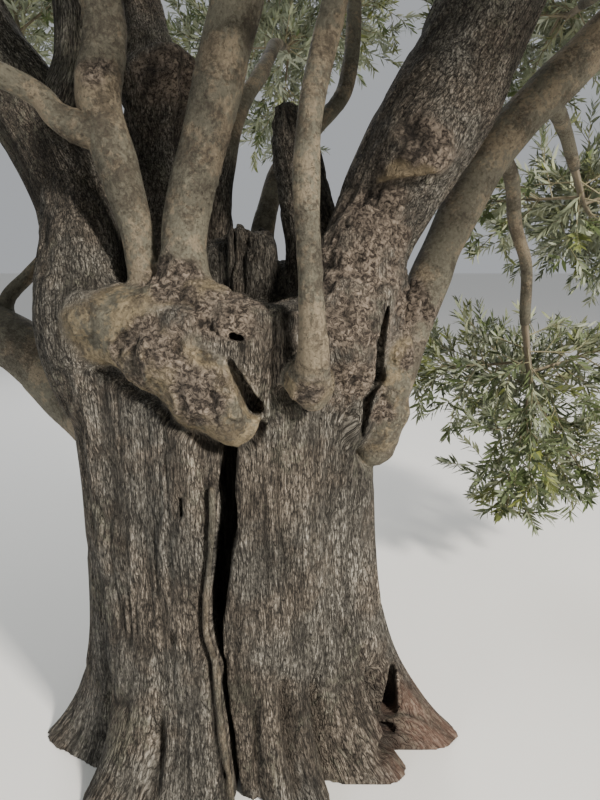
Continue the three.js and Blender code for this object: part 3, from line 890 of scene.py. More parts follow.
class LimbField:
    """Distance and bark coordinates round one limb's line, near the trunk."""

    step: float = 0.025
    old_flare: float = 0.3
    young_flare: float = 0.22
    # How much narrower the field ends, and over what length, and how far past the skin it is measured
    end_slip: float = 0.35
    end_length: float = 0.05
    reach: float = 0.13

    def __init__(self, limb: Limb, past_seam: float) -> None:
        """Lay out the line from inside the trunk to a way past the seam.

        Args:
            limb: the limb.
            past_seam: how far past its seam the field runs.
        """
        self.limb = limb
        stop = min(limb.seam_at + past_seam, limb.walked[-1])
        self.along = np.linspace(0, stop, max(8, int(stop / self.step)))
        self.places, radii, self.sides, self.others = limb.at(self.along)
        self.headings = unit(np.gradient(self.places, axis=0))
        # A root flare inside the trunk, and an end that slips into the limb's own skin
        if limb.bark is Bark.OLD:
            inside = 1 - smooth_step(self.along, limb.seam_at * 0.3, limb.seam_at + 0.05)
            flare = 1 + self.old_flare * inside
        else:
            flare = 1 + self.young_flare * np.exp(-((self.along / limb.seam_at) ** 2) * 1.2)
        ending = smooth_step(self.along, stop - self.end_length, stop)
        self.radii = radii * flare * (1 - self.end_slip * ending)
        margin = self.radii.max() + self.reach
        self.low, self.high = self.places.min(0) - margin, self.places.max(0) + margin

    def measure(self, points: Array) -> tuple[Array, Array, Array]:
        """Measure points from the limb's skin.

        Args:
            points: places, one in each row.

        Returns:
            Which of the points are near, their distances and their bark coordinates.
        """
        near = np.flatnonzero(np.all((points > self.low) & (points < self.high), axis=1))
        points = points[near]
        best = np.full(len(points), 1e9)
        away_best, share_best = np.zeros((len(points), 3)), np.zeros(len(points))
        part = np.zeros(len(points), int)
        for i, (start, span) in enumerate(zip(self.places[:-1], np.diff(self.places, axis=0))):
            away = points - start
            share = np.clip(away @ span / span.dot(span), 0, 1)
            away = away - share[:, None] * span
            distance = np.linalg.norm(away, axis=1) - mix(self.radii[i], self.radii[i + 1], share)
            nearer = distance < best
            best[nearer], away_best[nearer] = distance[nearer], away[nearer]
            part[nearer], share_best[nearer] = i, share[nearer]
        share = share_best[:, None]
        side, other, heading = (mix(frames[part], frames[part + 1], share)
                                for frames in (self.sides, self.others, self.headings))
        around = np.arctan2(np.sum(away_best * other, 1), np.sum(away_best * side, 1))
        # What lies ahead along the smooth heading keeps the grain from stepping where the line bends
        along = mix(self.along[part], self.along[part + 1], share_best) + np.sum(away_best * heading, 1)
        return near, best, self.limb.grain(np.cos(around), np.sin(around), along)


def carried_frames(places: Array) -> tuple[Array, Array]:
    """Carry two square directions along a line without twist.

    Args:
        places: points of the line, one in each row.

    Returns:
        Two arrays of unit vectors, one pair for each point.
    """
    headings = unit(np.gradient(places, axis=0))
    sides, others = np.zeros_like(places), np.zeros_like(places)
    side = np.cross([headings[0][2], headings[0][0], headings[0][1]], headings[0])
    for i, heading in enumerate(headings):
        side = side - heading * side.dot(heading)
        side /= math.sqrt(side.dot(side))
        sides[i] = side
    others = np.cross(headings, sides)
    return sides, others


@dataclass
class WoodSample:
    """What the wood's field says at some points."""

    distance: Array
    grain: Array
    furrow: Array
    burl: Array
    young: Array
    crust: Array
    clear: Array


@dataclass
class TrunkWood:
    """The trunk with its burls and the collars of its boughs, as one surface with the bark's relief."""

    plan: TreePlan
    sizes: TrunkSizes = TrunkSizes()
    cell: float = 0.007
    past_seam: float = 0.1
    low: tuple = (-0.8, -0.72, -0.02)
    high: tuple = (0.95, 0.74, 1.86)

    def __post_init__(self) -> None:
        """Prepare the collars' fields."""
        self.collars = [LimbField(self.plan.limbs[b.name], self.past_seam) for b in BOUGHS]
        for i, points in enumerate(self.sizes.ribs):
            rib = Limb(f"rib_{i}", LimbLine(points), Bark.OLD, len(self.plan.limbs) + i, blend=0.06)
            self.collars.append(LimbField(rib, rib.walked[-1]))

    def radius(self, bearing: Array, height: Array) -> Array:
        """Give the trunk's radius at a bearing and a height, as the source does, with creases.

        Args:
            bearing: directions round the trunk.
            height: heights.

        Returns:
            The radii.
        """
        s = self.sizes
        swell = ((height - s.waist) / s.waist) ** 2 * s.spread
        wide, deep = s.half_width + swell, s.half_depth + swell
        radius = 1 / np.hypot(np.cos(bearing) / wide, np.sin(bearing) / deep)
        for count, depth, turn in s.flutes:
            radius = radius + depth * np.cos(count * bearing + turn)
        for at, spread, reach, climb in s.roots:
            off = self.between(bearing, math.radians(at)) / math.radians(spread)
            radius = radius + reach * np.exp(-(off**2) - np.maximum(height, 0) / climb)
        radius = radius - self.crease(bearing, height)
        middle, _ = self.cleft_at(height)
        lip = self.between(bearing, np.arctan2(-s.half_depth, middle)) / math.radians(s.lip_spread)
        return radius - s.lip_depth * np.exp(-(lip**2))

    def crease(self, bearing: Array, height: Array) -> Array:
        """Give how deep the creases are at bearings and heights.

        Args:
            bearing: directions round the trunk.
            height: heights.

        Returns:
            The depths.
        """
        depth_there = np.zeros(len(bearing))
        for at, spread, depth, lowest, highest in self.sizes.creases:
            off = self.between(bearing, math.radians(at)) / math.radians(spread)
            fade = smooth_step(highest - height, 0, 0.16) * smooth_step(height - lowest, 0, 0.08)
            depth_there += depth * np.exp(-(off**2)) * fade
        return depth_there

    @staticmethod
    def between(a: Array, b: Array | float) -> Array:
        """Give the angle from b to a, within half a turn."""
        return (a - b + math.pi) % (2 * math.pi) - math.pi

    def cleft_at(self, height: Array) -> tuple[Array, Array]:
        """Give the cleft's middle and half width at heights."""
        rows = np.array(self.sizes.cleft)
        return np.interp(height, rows[:, 0], rows[:, 1]), np.interp(height, rows[:, 0], rows[:, 2])

    def body(self, points: Array, recess: Array | float = 0.0) -> tuple[Array, Array]:
        """Measure points from the trunk's plain skin.

        Args:
            points: places, one in each row.
            recess: how far the skin is drawn in at each.

        Returns:
            Distances, and bark coordinates.
        """
        s = self.sizes
        x, y, z = points.T
        bearing, out = np.arctan2(y, x), np.hypot(x, y)
        skin = self.radius(bearing, z) - recess
        rim = s.rim + s.rim_tilt * np.sin(bearing)
        top = rim - (rim - s.bowl) * (1 - smooth_step(out / skin, 0.1, 0.9))
        distance = smooth_most((out - skin) * 0.88, z - top, 0.05)
        girth = (s.half_width + s.half_depth) / 2
        grain = np.stack([np.cos(bearing) * girth, np.sin(bearing) * girth, z - 0.5 * (out - skin)], 1)
        # Round the foot the grain spreads with the roots, and above it runs straight up
        return distance, mix(grain, points, smooth_step(z, 1.1, 1.38)[:, None])

    @staticmethod
    def lumps(points: Array, lumps: tuple, blend: float,
              power: int = 2) -> tuple[Array, Array]:
        """Measure points from swollen lumps.

        Args:
            points: places, one in each row.
            lumps: centre and half sizes of each.
            blend: how widely they run into each other.
            power: 2 for round lumps, more for blocky ones.

        Returns:
            Distances, and how far each point is below the nearest lump's centre.
        """
        distance, nearest, below = np.full(len(points), 1e3), np.full(len(points), 1e3), np.zeros(len(points))
        for centre, half in lumps:
            own = (np.linalg.norm((points - centre) / half, power, axis=1) - 1) * min(half) * 0.95
            below = np.where(own < nearest, centre[2] - points[:, 2], below)
            nearest = np.minimum(nearest, own)
            distance = smooth_least(distance, own, blend)
        return distance, below

    def sample(self, points: Array) -> WoodSample:
        """Work out the wood at some points.

        Args:
            points: places in metres, one in each row.

        Returns:
            Distances to the skin, bark coordinates and masks.
        """
        count, s = len(points), self.sizes
        swollen, below = self.lumps(points, s.burls, 0.03)
        # The trunk draws in under the swollen wood, which overhangs it
        under = np.exp(-(((swollen - s.undercut_at) / s.undercut_spread) ** 2))
        recess = s.undercut * under * smooth_step(below, 0.0, 0.05)
        trunk, grain = self.body(points, recess)
        trunk = smooth_least(trunk, self.lumps(points, s.old_lumps, 0.03)[0], 0.04)
        dead, _ = self.lumps(points, s.blocks, 0.015, s.block_power)
        close = np.flatnonzero(dead < 0.06)
        dead[close] += s.block_rough * noise(points[close] / s.block_cells, Seed.DEAD_WOOD)
        trunk = smooth_least(trunk, dead, 0.02)
        nearness = [(trunk, None), (swollen, None)]
        total = smooth_least(trunk, swollen, 0.014)
        for collar in self.collars:
            near, distance, where = collar.measure(points)
            whole = np.full(count, 1.0)
            whole[near] = distance
            nearness.append((whole, (near, where)))
            total[near] = smooth_least(total[near], distance, collar.limb.blend)
        weights = np.array([np.exp(-np.clip(own - total, 0, 0.4) / 0.014) for own, _ in nearness])
        weights /= weights.sum(0)
        best = weights.argmax(0)
        height, furrow, young = (np.zeros(count) for _ in range(3))
        coordinates = grain.copy()
        for i, (_, mapped) in enumerate(nearness):
            used = np.flatnonzero(weights[i] > 0.03)
            if not len(used):
                continue
            if i == 0:
                up, deep = RELIEF.old(grain[used])
                fresh = 0.0
            elif i == 1:
                up, deep = RELIEF.burl(points[used])
                fresh = 0.0
                coordinates[best == 1] = points[best == 1]
            else:
                near, where = mapped
                limb = self.collars[i - 2].limb
                place = np.searchsorted(near, used)
                up, deep, fresh = limb.bark_at(where[place], points[used, 2])
                own = best[used] == i
                coordinates[used[own]] = where[place][own]
            share = weights[i][used]
            height[used] += share * up
            furrow[used] += share * deep
            young[used] += share * fresh
        # Deep shade where the trunk draws in
        furrow = np.maximum(furrow, smooth_step(recess, 0.012, 0.036) * weights[0] * 0.9)
        furrow = np.maximum(furrow, 0.5 * smooth_step(-dead, -0.03, 0.0) * weights[0])
        # The creases darken, partly as dirt and partly as painted shade
        creased = self.crease(np.arctan2(points[:, 1], points[:, 0]), points[:, 2])
        furrow = np.maximum(furrow, 0.7 * smooth_step(creased, 0.008, 0.045) * weights[0])
        crust = self.crust_share(points)
        rough = np.flatnonzero(crust > 0.02)
        up, deep = RELIEF.crust(points[rough])
        height[rough] = mix(height[rough] * 0.5 + 0.004, height[rough] * 0.5 + up, crust[rough])
        furrow[rough] = mix(furrow[rough], deep, crust[rough])
        ordered = np.sort(weights, axis=0)
        return WoodSample(self.carve(points, total - height), coordinates, furrow, weights[1], young, crust,
                          ordered[-1] - ordered[-2])

    def crust_share(self, points: Array) -> Array:
        """Give how crusty the bark is at some points.

        Args:
            points: places, one in each row.

        Returns:
            Shares from 0 to 1.
        """
        share = np.zeros(len(points))
        for centre, radius in self.sizes.crusts:
            share = np.maximum(share, 1.35 - np.linalg.norm(points - centre, axis=1) / radius)
        ragged = np.flatnonzero(share > 0)
        wide = noise(points[ragged] / 0.045, Seed.CRUST_WIDE)
        share[ragged] += 0.5 * wide + 0.25 * noise(points[ragged] / 0.016, Seed.CRUST_FINE)
        return smooth_step(share, 0.1, 0.8)

    def carve(self, points: Array, distance: Array) -> Array:
        """Cut the cleft, the hollows and the flat foot into the wood, and roll new wood along the cleft.

        Args:
            points: places, one in each row.
            distance: their distances from the wood.

        Returns:
            The new distances.
        """
        s = self.sizes
        x, y, z = points.T
        middle, half = self.cleft_at(z)
        wander = noise(np.stack([z / 0.06, y / 0.25, z * 0], 1), Seed.CLEFT_WANDER) * s.cleft_wander
        ragged = noise(points / (0.03, 0.03, 0.07), Seed.RAGGED) * s.ragged
        slot = np.maximum(np.abs(x - middle - wander) - half - ragged, y - s.cleft_back)
        slot = np.maximum(slot, z - s.cleft[-1][0])
        roll = self.roll(points)
        groove = s.groove_depth * np.exp(-(((roll - s.groove_at) / s.groove_spread) ** 2))
        distance = smooth_least(distance + groove, roll, 0.004)
        distance = smooth_most(distance, -slot, 0.01)
        for start, end, first, last in s.hollows:
            narrow = np.array([1.0, 0.25, 1.0])
            start, end = np.array(start) * narrow, np.array(end) * narrow
            away, span = points * narrow - start, end - start
            share = np.clip(away @ span / span.dot(span), 0, 1)
            pit = np.linalg.norm(away - share[:, None] * span, axis=1) - mix(first, last, share) + ragged
            distance = smooth_most(distance, -pit, 0.008)
        return np.maximum(distance, -z)

    def roll(self, points: Array) -> Array:
        """Measure points from the roll of new wood along the cleft's left side.

        Args:
            points: places, one in each row.

        Returns:
            Their distances.
        """
        s = self.sizes
        x, y, z = points.T
        # The cleft's left edge, without its short bends
        edge = np.mean([np.subtract(*self.cleft_at(z + step)) for step in (-0.06, -0.02, 0.02, 0.06)], axis=0)
        wander = noise(np.stack([z / 0.11, z * 0, z * 0 + 3.3], 1), Seed.ROLL_WANDER) * 0.003
        bearing = np.arctan2(-s.half_depth, edge - s.roll_aside)
        skin = self.radius(bearing, z) + s.roll_out
        away = np.hypot(x - wander - skin * np.cos(bearing), y - skin * np.sin(bearing))
        uneven = s.roll_uneven * noise(points / (0.04, 0.04, 0.06), Seed.ROLL_SKIN)
        return np.maximum(away - s.roll_radius - uneven, z - s.roll_top)

    def surface(self) -> tuple[Array, Array]:
        """Find the wood's skin, first on a coarse grid and then in the cells near it.

        Returns:
            Vertices, and four-sided faces as rows of vertex numbers.
        """
        low, block = np.array(self.low), 4
        counts = np.ceil((np.array(self.high) - low) / (self.cell * block)).astype(int)
        middles = [low[k] + (np.arange(counts[k]) * block + 1.5) * self.cell for k in range(3)]
        coarse_points = np.stack(np.meshgrid(*middles, indexing="ij"), -1).reshape(-1, 3)
        coarse = self.sample(coarse_points).distance
        reach = self.cell * block * 0.87 + 0.022
        near = np.abs(coarse) < reach
        fine = np.repeat(np.clip(coarse, -reach, reach).reshape(counts).astype(np.float32), block, 0)
        fine = np.repeat(np.repeat(fine, block, 1), block, 2)
        cells = np.stack(np.unravel_index(np.flatnonzero(near), counts), 1) * block
        step = np.stack(np.meshgrid(*[np.arange(block)] * 3, indexing="ij"), -1).reshape(-1, 3)
        spots = (cells[:, None] + step[None]).reshape(-1, 3)
        LOG.info("trunk: %d points", len(spots))
        values = np.concatenate([self.sample(low + part * self.cell).distance
                                 for part in np.array_split(spots, max(1, len(spots) // 200000))])
        fine[spots[:, 0], spots[:, 1], spots[:, 2]] = values
        grid = openvdb.FloatGrid(reach)
        grid.copyFromArray(np.ascontiguousarray(fine))
        points, quads = grid.convertToQuads(0.0)
        return np.asarray(points, float) * self.cell + low, np.asarray(quads, int)[:, ::-1]


def smooth_least(a: Array, b: Array, blend: float) -> Array:
    """Give the lesser of two distances, rounded where they meet."""
    h = np.clip(blend - np.abs(a - b), 0, None) / blend
    return np.minimum(a, b) - h * h * blend / 4


def smooth_most(a: Array, b: Array, blend: float) -> Array:
    """Give the greater of two distances, rounded where they meet."""
    return -smooth_least(-a, -b, blend)


# Meshes from arrays


def mesh_object(name: str, vertices: Array, faces: Array, counts: Array | None = None,
                attributes: dict | None = None, smooth: bool = True) -> bpy.types.Object:
    """Make an object from arrays.

    Args:
        name: the piece's name.
        vertices: places, one in each row.
        faces: vertex numbers, rows of equal length, or a flat list with counts.
        counts: how many corners each face has, where they differ.
        attributes: values for each vertex, by name.
        smooth: whether the faces are shaded as one skin.

    Returns:
        The object, linked to the scene.
    """
    if counts is None:
        counts = np.full(len(faces), faces.shape[1])
    flat = np.asarray(faces).reshape(-1).astype(np.int32)
    mesh = bpy.data.meshes.new(name)
    mesh.vertices.add(len(vertices))
    mesh.vertices.foreach_set("co", np.asarray(vertices, np.float32).reshape(-1))
    mesh.loops.add(len(flat))
    mesh.loops.foreach_set("vertex_index", flat)
    mesh.polygons.add(len(counts))
    starts = np.concatenate([[0], np.cumsum(counts)[:-1]]).astype(np.int32)
    mesh.polygons.foreach_set("loop_start", starts)
    mesh.polygons.foreach_set("use_smooth", np.full(len(counts), smooth))
    for key, values in (attributes or {}).items():
        kind = "FLOAT_VECTOR" if np.ndim(values) == 2 else "FLOAT"
        layer = mesh.attributes.new(key, kind, "POINT")
        layer.data.foreach_set("vector" if kind == "FLOAT_VECTOR" else "value",
                               np.asarray(values, np.float32).reshape(-1))
    mesh.update(calc_edges=True)
    made = bpy.data.objects.new(name, mesh)
    bpy.context.scene.collection.objects.link(made)
    return made


def part_of(vertices: Array, faces: Array, keep: Array,
            attributes: dict) -> tuple[Array, Array, dict]:
    """Take some faces of a mesh, with their vertices alone.

    Args:
        vertices: places, one in each row.
        faces: rows of vertex numbers.
        keep: which faces to take.
        attributes: values for each vertex, by name.

    Returns:
        The new vertices, faces and attributes.
    """
    used, faces = np.unique(faces[keep], return_inverse=True)
    faces = faces.reshape(-1, 4)
    return vertices[used], faces, {key: values[used] for key, values in attributes.items()}


def place_piece(piece: bpy.types.Object, slot: str, *nodes: str) -> None:
    """Make a piece ride on the tree, hide the nodes that it stands for, and log it.

    Args:
        piece: the piece.
        slot: not used.
        nodes: what it stands for.
    """
    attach(piece, BODY)
    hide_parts(*nodes)
    LOG.info("%s: %d faces, for %s", piece.name, len(piece.data.polygons), ", ".join(nodes))


# Finishes


def linear(colour: int) -> tuple[float, float, float, float]:
    """Turn a screen colour 0xRRGGBB into Blender's linear one."""
    parts = [((colour >> shift) & 255) / 255 for shift in (16, 8, 0)]
    return (*[c / 12.92 if c <= 0.04045 else ((c + 0.055) / 1.055) ** 2.4 for c in parts], 1.0)


class NodeSheet:
    """Adds nodes to a material or a node group in few words."""

    def __init__(self, tree: NodeTree) -> None:
        """Take the node tree to add to."""
        self.tree = tree

    def add(self, kind: str, inputs: dict | None = None, **settings: object) -> bpy.types.Node:
        """Add a node.

        Args:
            kind: Blender's node type.
            inputs: a value or a socket to link, for each input by name or number.
            **settings: the node's own settings.

        Returns:
            The node.
        """
        node = self.tree.nodes.new(kind)
        for key, value in settings.items():
            setattr(node, key, value)
        for key, value in (inputs or {}).items():
            if isinstance(value, Socket):
                self.tree.links.new(value, node.inputs[key])
            else:
                node.inputs[key].default_value = value
        return node

    def blend(self, share: object, a: object, b: object, kind: str = "MIX") -> Socket:
        """Mix two colours and give the result's socket.

        Args:
            share: how much of the second.
            a: the first colour.
            b: the second colour.
            kind: the way of mixing.

        Returns:
            The mixed colour.
        """
        node = self.tree.nodes.new("ShaderNodeMix")
        node.data_type, node.blend_type = "RGBA", kind
        for socket, value in ((node.inputs[0], share), (node.inputs[6], a), (node.inputs[7], b)):
            if isinstance(value, Socket):
                self.tree.links.new(value, socket)
            else:
                socket.default_value = value
        return node.outputs[2]

    def sum(self, kind: str, a: object, b: object, c: object = None) -> Socket:
        """Do one sum and give the result's socket."""
        inputs = {0: a, 1: b} if c is None else {0: a, 1: b, 2: c}
        return self.add("ShaderNodeMath", inputs, operation=kind).outputs[0]

    def times(self, a: object, b: object) -> Socket:
        """Multiply and give the result's socket."""
        return self.sum("MULTIPLY", a, b)

    def range(self, value: object, low: object, high: object, to_low: float = 0.0,
              to_high: float = 1.0) -> Socket:
        """Map a range smoothly onto another."""
        inputs = {"Value": value, "From Min": low, "From Max": high, "To Min": to_low, "To Max": to_high}
        return self.add("ShaderNodeMapRange", inputs, interpolation_type="SMOOTHSTEP").outputs[0]

    def noise(self, place: object, scale: object, detail: float, rough: float,
              warp: float = 0.0) -> Socket:
        """Give a noise that changes over places."""
        inputs = {"Vector": place, "Scale": scale, "Detail": detail, "Roughness": rough, "Distortion": warp}
        return self.add("ShaderNodeTexNoise", inputs).outputs[0]

    def attribute(self, name: str) -> bpy.types.Node:
        """Read one of the mesh's attributes."""
        return self.add("ShaderNodeAttribute", attribute_name=name)

    def place_of_object(self) -> Socket:
        """Give the place on the object, in metres."""
        return self.add("ShaderNodeTexCoord").outputs["Object"]

    def group(self, tree: NodeTree, **values: object) -> bpy.types.Node:
        """Place a shared group with values of its own."""
        return self.add("ShaderNodeGroup", values, node_tree=tree)

    def shaded(self, colour: object, value: object, low: float, high: float, dark: float,
               bright: float) -> Socket:
        """Multiply a colour by a grey that follows a value.

        Args:
            colour: the colour to shade.
            value: what the grey follows.
            low: value at which the grey is dark.
            high: value at which it is bright.
            dark: the grey at low.
            bright: the grey at high.

        Returns:
            The shaded colour.
        """
        shade = self.range(value, low, high, dark, bright)
        grey = self.add("ShaderNodeCombineColor", dict.fromkeys(range(3), shade))
        return self.blend(1.0, colour, grey.outputs[0], "MULTIPLY")


def new_material(name: str) -> tuple[Material, bpy.types.Node]:
    """Start a material and give it with its shader.

    Args:
        name: its name.

    Returns:
        The material and its shader.
    """
    material = bpy.data.materials.new(name)
    material.use_nodes = True
    return material, material.node_tree.nodes["Principled BSDF"]


def new_group(name: str, inputs: dict, outputs: dict) -> tuple[NodeTree, NodeSheet, object, object]:
    """Start a node group.

    Args:
        name: the group's name.
        inputs: socket kind and default value, by name.
        outputs: socket kind, by name.

    Returns:
        The group, its sheet, its inputs' sockets and its output node.
    """
    group = bpy.data.node_groups.new(name, "ShaderNodeTree")
    for key, (kind, value) in inputs.items():
        socket = group.interface.new_socket(key, in_out="INPUT", socket_type=kind)
        socket.default_value = value
    for key, kind in outputs.items():
        group.interface.new_socket(key, in_out="OUTPUT", socket_type=kind)
    given, made = group.nodes.new("NodeGroupInput"), group.nodes.new("NodeGroupOutput")
    return group, NodeSheet(group), given.outputs, made


NUMBER, VECTOR = "NodeSocketFloat", "NodeSocketVector"


def fibre_group() -> NodeTree:
    """Build the group that draws fine fibres and winding cracks along the grain.

    Returns:
        The group.
    """
    group, sheet, given, made = new_group(
        "bark_fibre",
        {"Grain": (VECTOR, (0, 0, 0)), "Across": (NUMBER, 60.0), "Along": (NUMBER, 12.0),
         "Width": (NUMBER, 0.06)},
        {"Height": NUMBER, "Cracks": NUMBER, "Fibre": NUMBER})
    scale = sheet.add("ShaderNodeCombineXYZ", {0: given["Across"], 1: given["Across"], 2: given["Along"]})
    place = sheet.add("ShaderNodeVectorMath", {0: given["Grain"], 1: scale.outputs[0]},
                      operation="MULTIPLY").outputs[0]
    fibre = sheet.noise(place, 2.6, 4.0, 0.62, 0.3)
    cracks = []
    for fineness, share in ((1.0, 1.0), (2.1, 0.75)):
        off = sheet.sum("SUBTRACT", sheet.noise(place, fineness, 2.0, 0.45, 0.2), 0.5)
        off = sheet.add("ShaderNodeMath", {0: off}, operation="ABSOLUTE").outputs[0]
        near = {"Value": off, "From Min": 0.0, "From Max": given["Width"], "To Min": share, "To Max": 0.0}
        cracks.append(sheet.add("ShaderNodeMapRange", near).outputs[0])
    crack = sheet.sum("MAXIMUM", *cracks)
    height = sheet.sum("SUBTRACT", sheet.times(fibre, 0.9), sheet.times(crack, 0.5))
    for key, value in (("Height", height), ("Cracks", crack), ("Fibre", fibre)):
        sheet.tree.links.new(value, made.inputs[key])
    return group


def patch_group() -> NodeTree:
    """Build the group that gives soft patches, for lichen, flakes and stains.

    Returns:
        The group.
    """
    group, sheet, given, made = new_group(
        "soft_patches",
        {"Place": (VECTOR, (0, 0, 0)), "Scale": (NUMBER, 6.0), "Low": (NUMBER, 0.5), "High": (NUMBER, 0.6),
         "Speckle": (NUMBER, 0.4)},
        {"Mask": NUMBER})
    wide = sheet.noise(given["Place"], given["Scale"], 3.0, 0.6)
    small = sheet.noise(given["Place"], sheet.times(given["Scale"], 9.0), 3.0, 0.65)
    value = sheet.sum("MULTIPLY_ADD", sheet.sum("SUBTRACT", small, 0.5), given["Speckle"], wide)
    sheet.tree.links.new(sheet.range(value, given["Low"], given["High"]), made.inputs["Mask"])
    return group


def wart_group() -> NodeTree:
    """Build the group that gives crumbs and pores.

    Returns:
        The group.
    """
    group, sheet, given, made = new_group(
        "warts",
        {"Place": (VECTOR, (0, 0, 0)), "Scale": (NUMBER, 45.0),
         "Low": (NUMBER, 0.44), "High": (NUMBER, 0.54)},
        {"Height": NUMBER, "Pores": NUMBER})
    crumbs = sheet.noise(given["Place"], given["Scale"], 5.0, 0.68, 0.8)
    pores = sheet.range(crumbs, given["Low"], given["High"], 1.0, 0.0)
    height = sheet.sum("SUBTRACT", crumbs, sheet.times(pores, 0.35))
    sheet.tree.links.new(height, made.inputs["Height"])
    sheet.tree.links.new(pores, made.inputs["Pores"])
    return group


@dataclass
class Effects:
    """The node groups that the finishes share."""

    fibre: NodeTree
    patches: NodeTree
    warts: NodeTree

    @classmethod
    def build(cls) -> "Effects":
        """Build each group once."""
        return cls(fibre_group(), patch_group(), wart_group())


BARK_VALUES = ("furrow", "burl", "young", "crust", "clear", "decay", "scar")


class BarkSheet(NodeSheet):
    """The bark's sheet, with the mesh's masks and the groups that several parts of the bark draw on."""

    def __init__(self, tree: NodeTree, effects: Effects) -> None:
        """Place the masks and the groups.

        Args:
            tree: the material's nodes.
            effects: the shared groups.
        """
        super().__init__(tree)
        self.effects = effects
        grain = self.attribute("grain").outputs["Vector"]
        self.mask = {key: self.attribute(key).outputs["Fac"] for key in BARK_VALUES}
        self.place = self.place_of_object()
        self.fibre = self.group(effects.fibre, Grain=grain, Across=92.0, Along=15.0, Width=0.07).outputs
        streaks = self.group(effects.fibre, Grain=grain, Across=6.5, Along=0.9, Width=0.1)
        skin = self.group(effects.fibre, Grain=grain, Across=55.0, Along=34.0, Width=0.02)
        self.streaks, self.skin = streaks.outputs["Fibre"], skin.outputs["Fibre"]
        self.warts = self.group(effects.warts, Place=self.place, Scale=75.0, Low=0.38, High=0.58).outputs
        self.pits = self.group(effects.warts, Place=self.place, Scale=120.0, Low=0.36, High=0.44).outputs
        # Stain and light patches mottle the bark; on young bark they are partly painted dappled shade and
        # light
        self.stain, self.light = self.patches(11.0, 0.48, 0.62, 0.6), self.patches(7.0, 0.48, 0.6, 0.5)
        self.scaly = self.times(self.patches(5.5, 0.46, 0.6, 0.5), self.warts["Pores"])

    def patches(self, scale: float, low: float, high: float, speckle: float) -> Socket:
        """Place the group of soft patches and give its mask."""
        return self.group(self.effects.patches, Place=self.place, Scale=scale, Low=low, High=high,
                          Speckle=speckle).outputs[0]


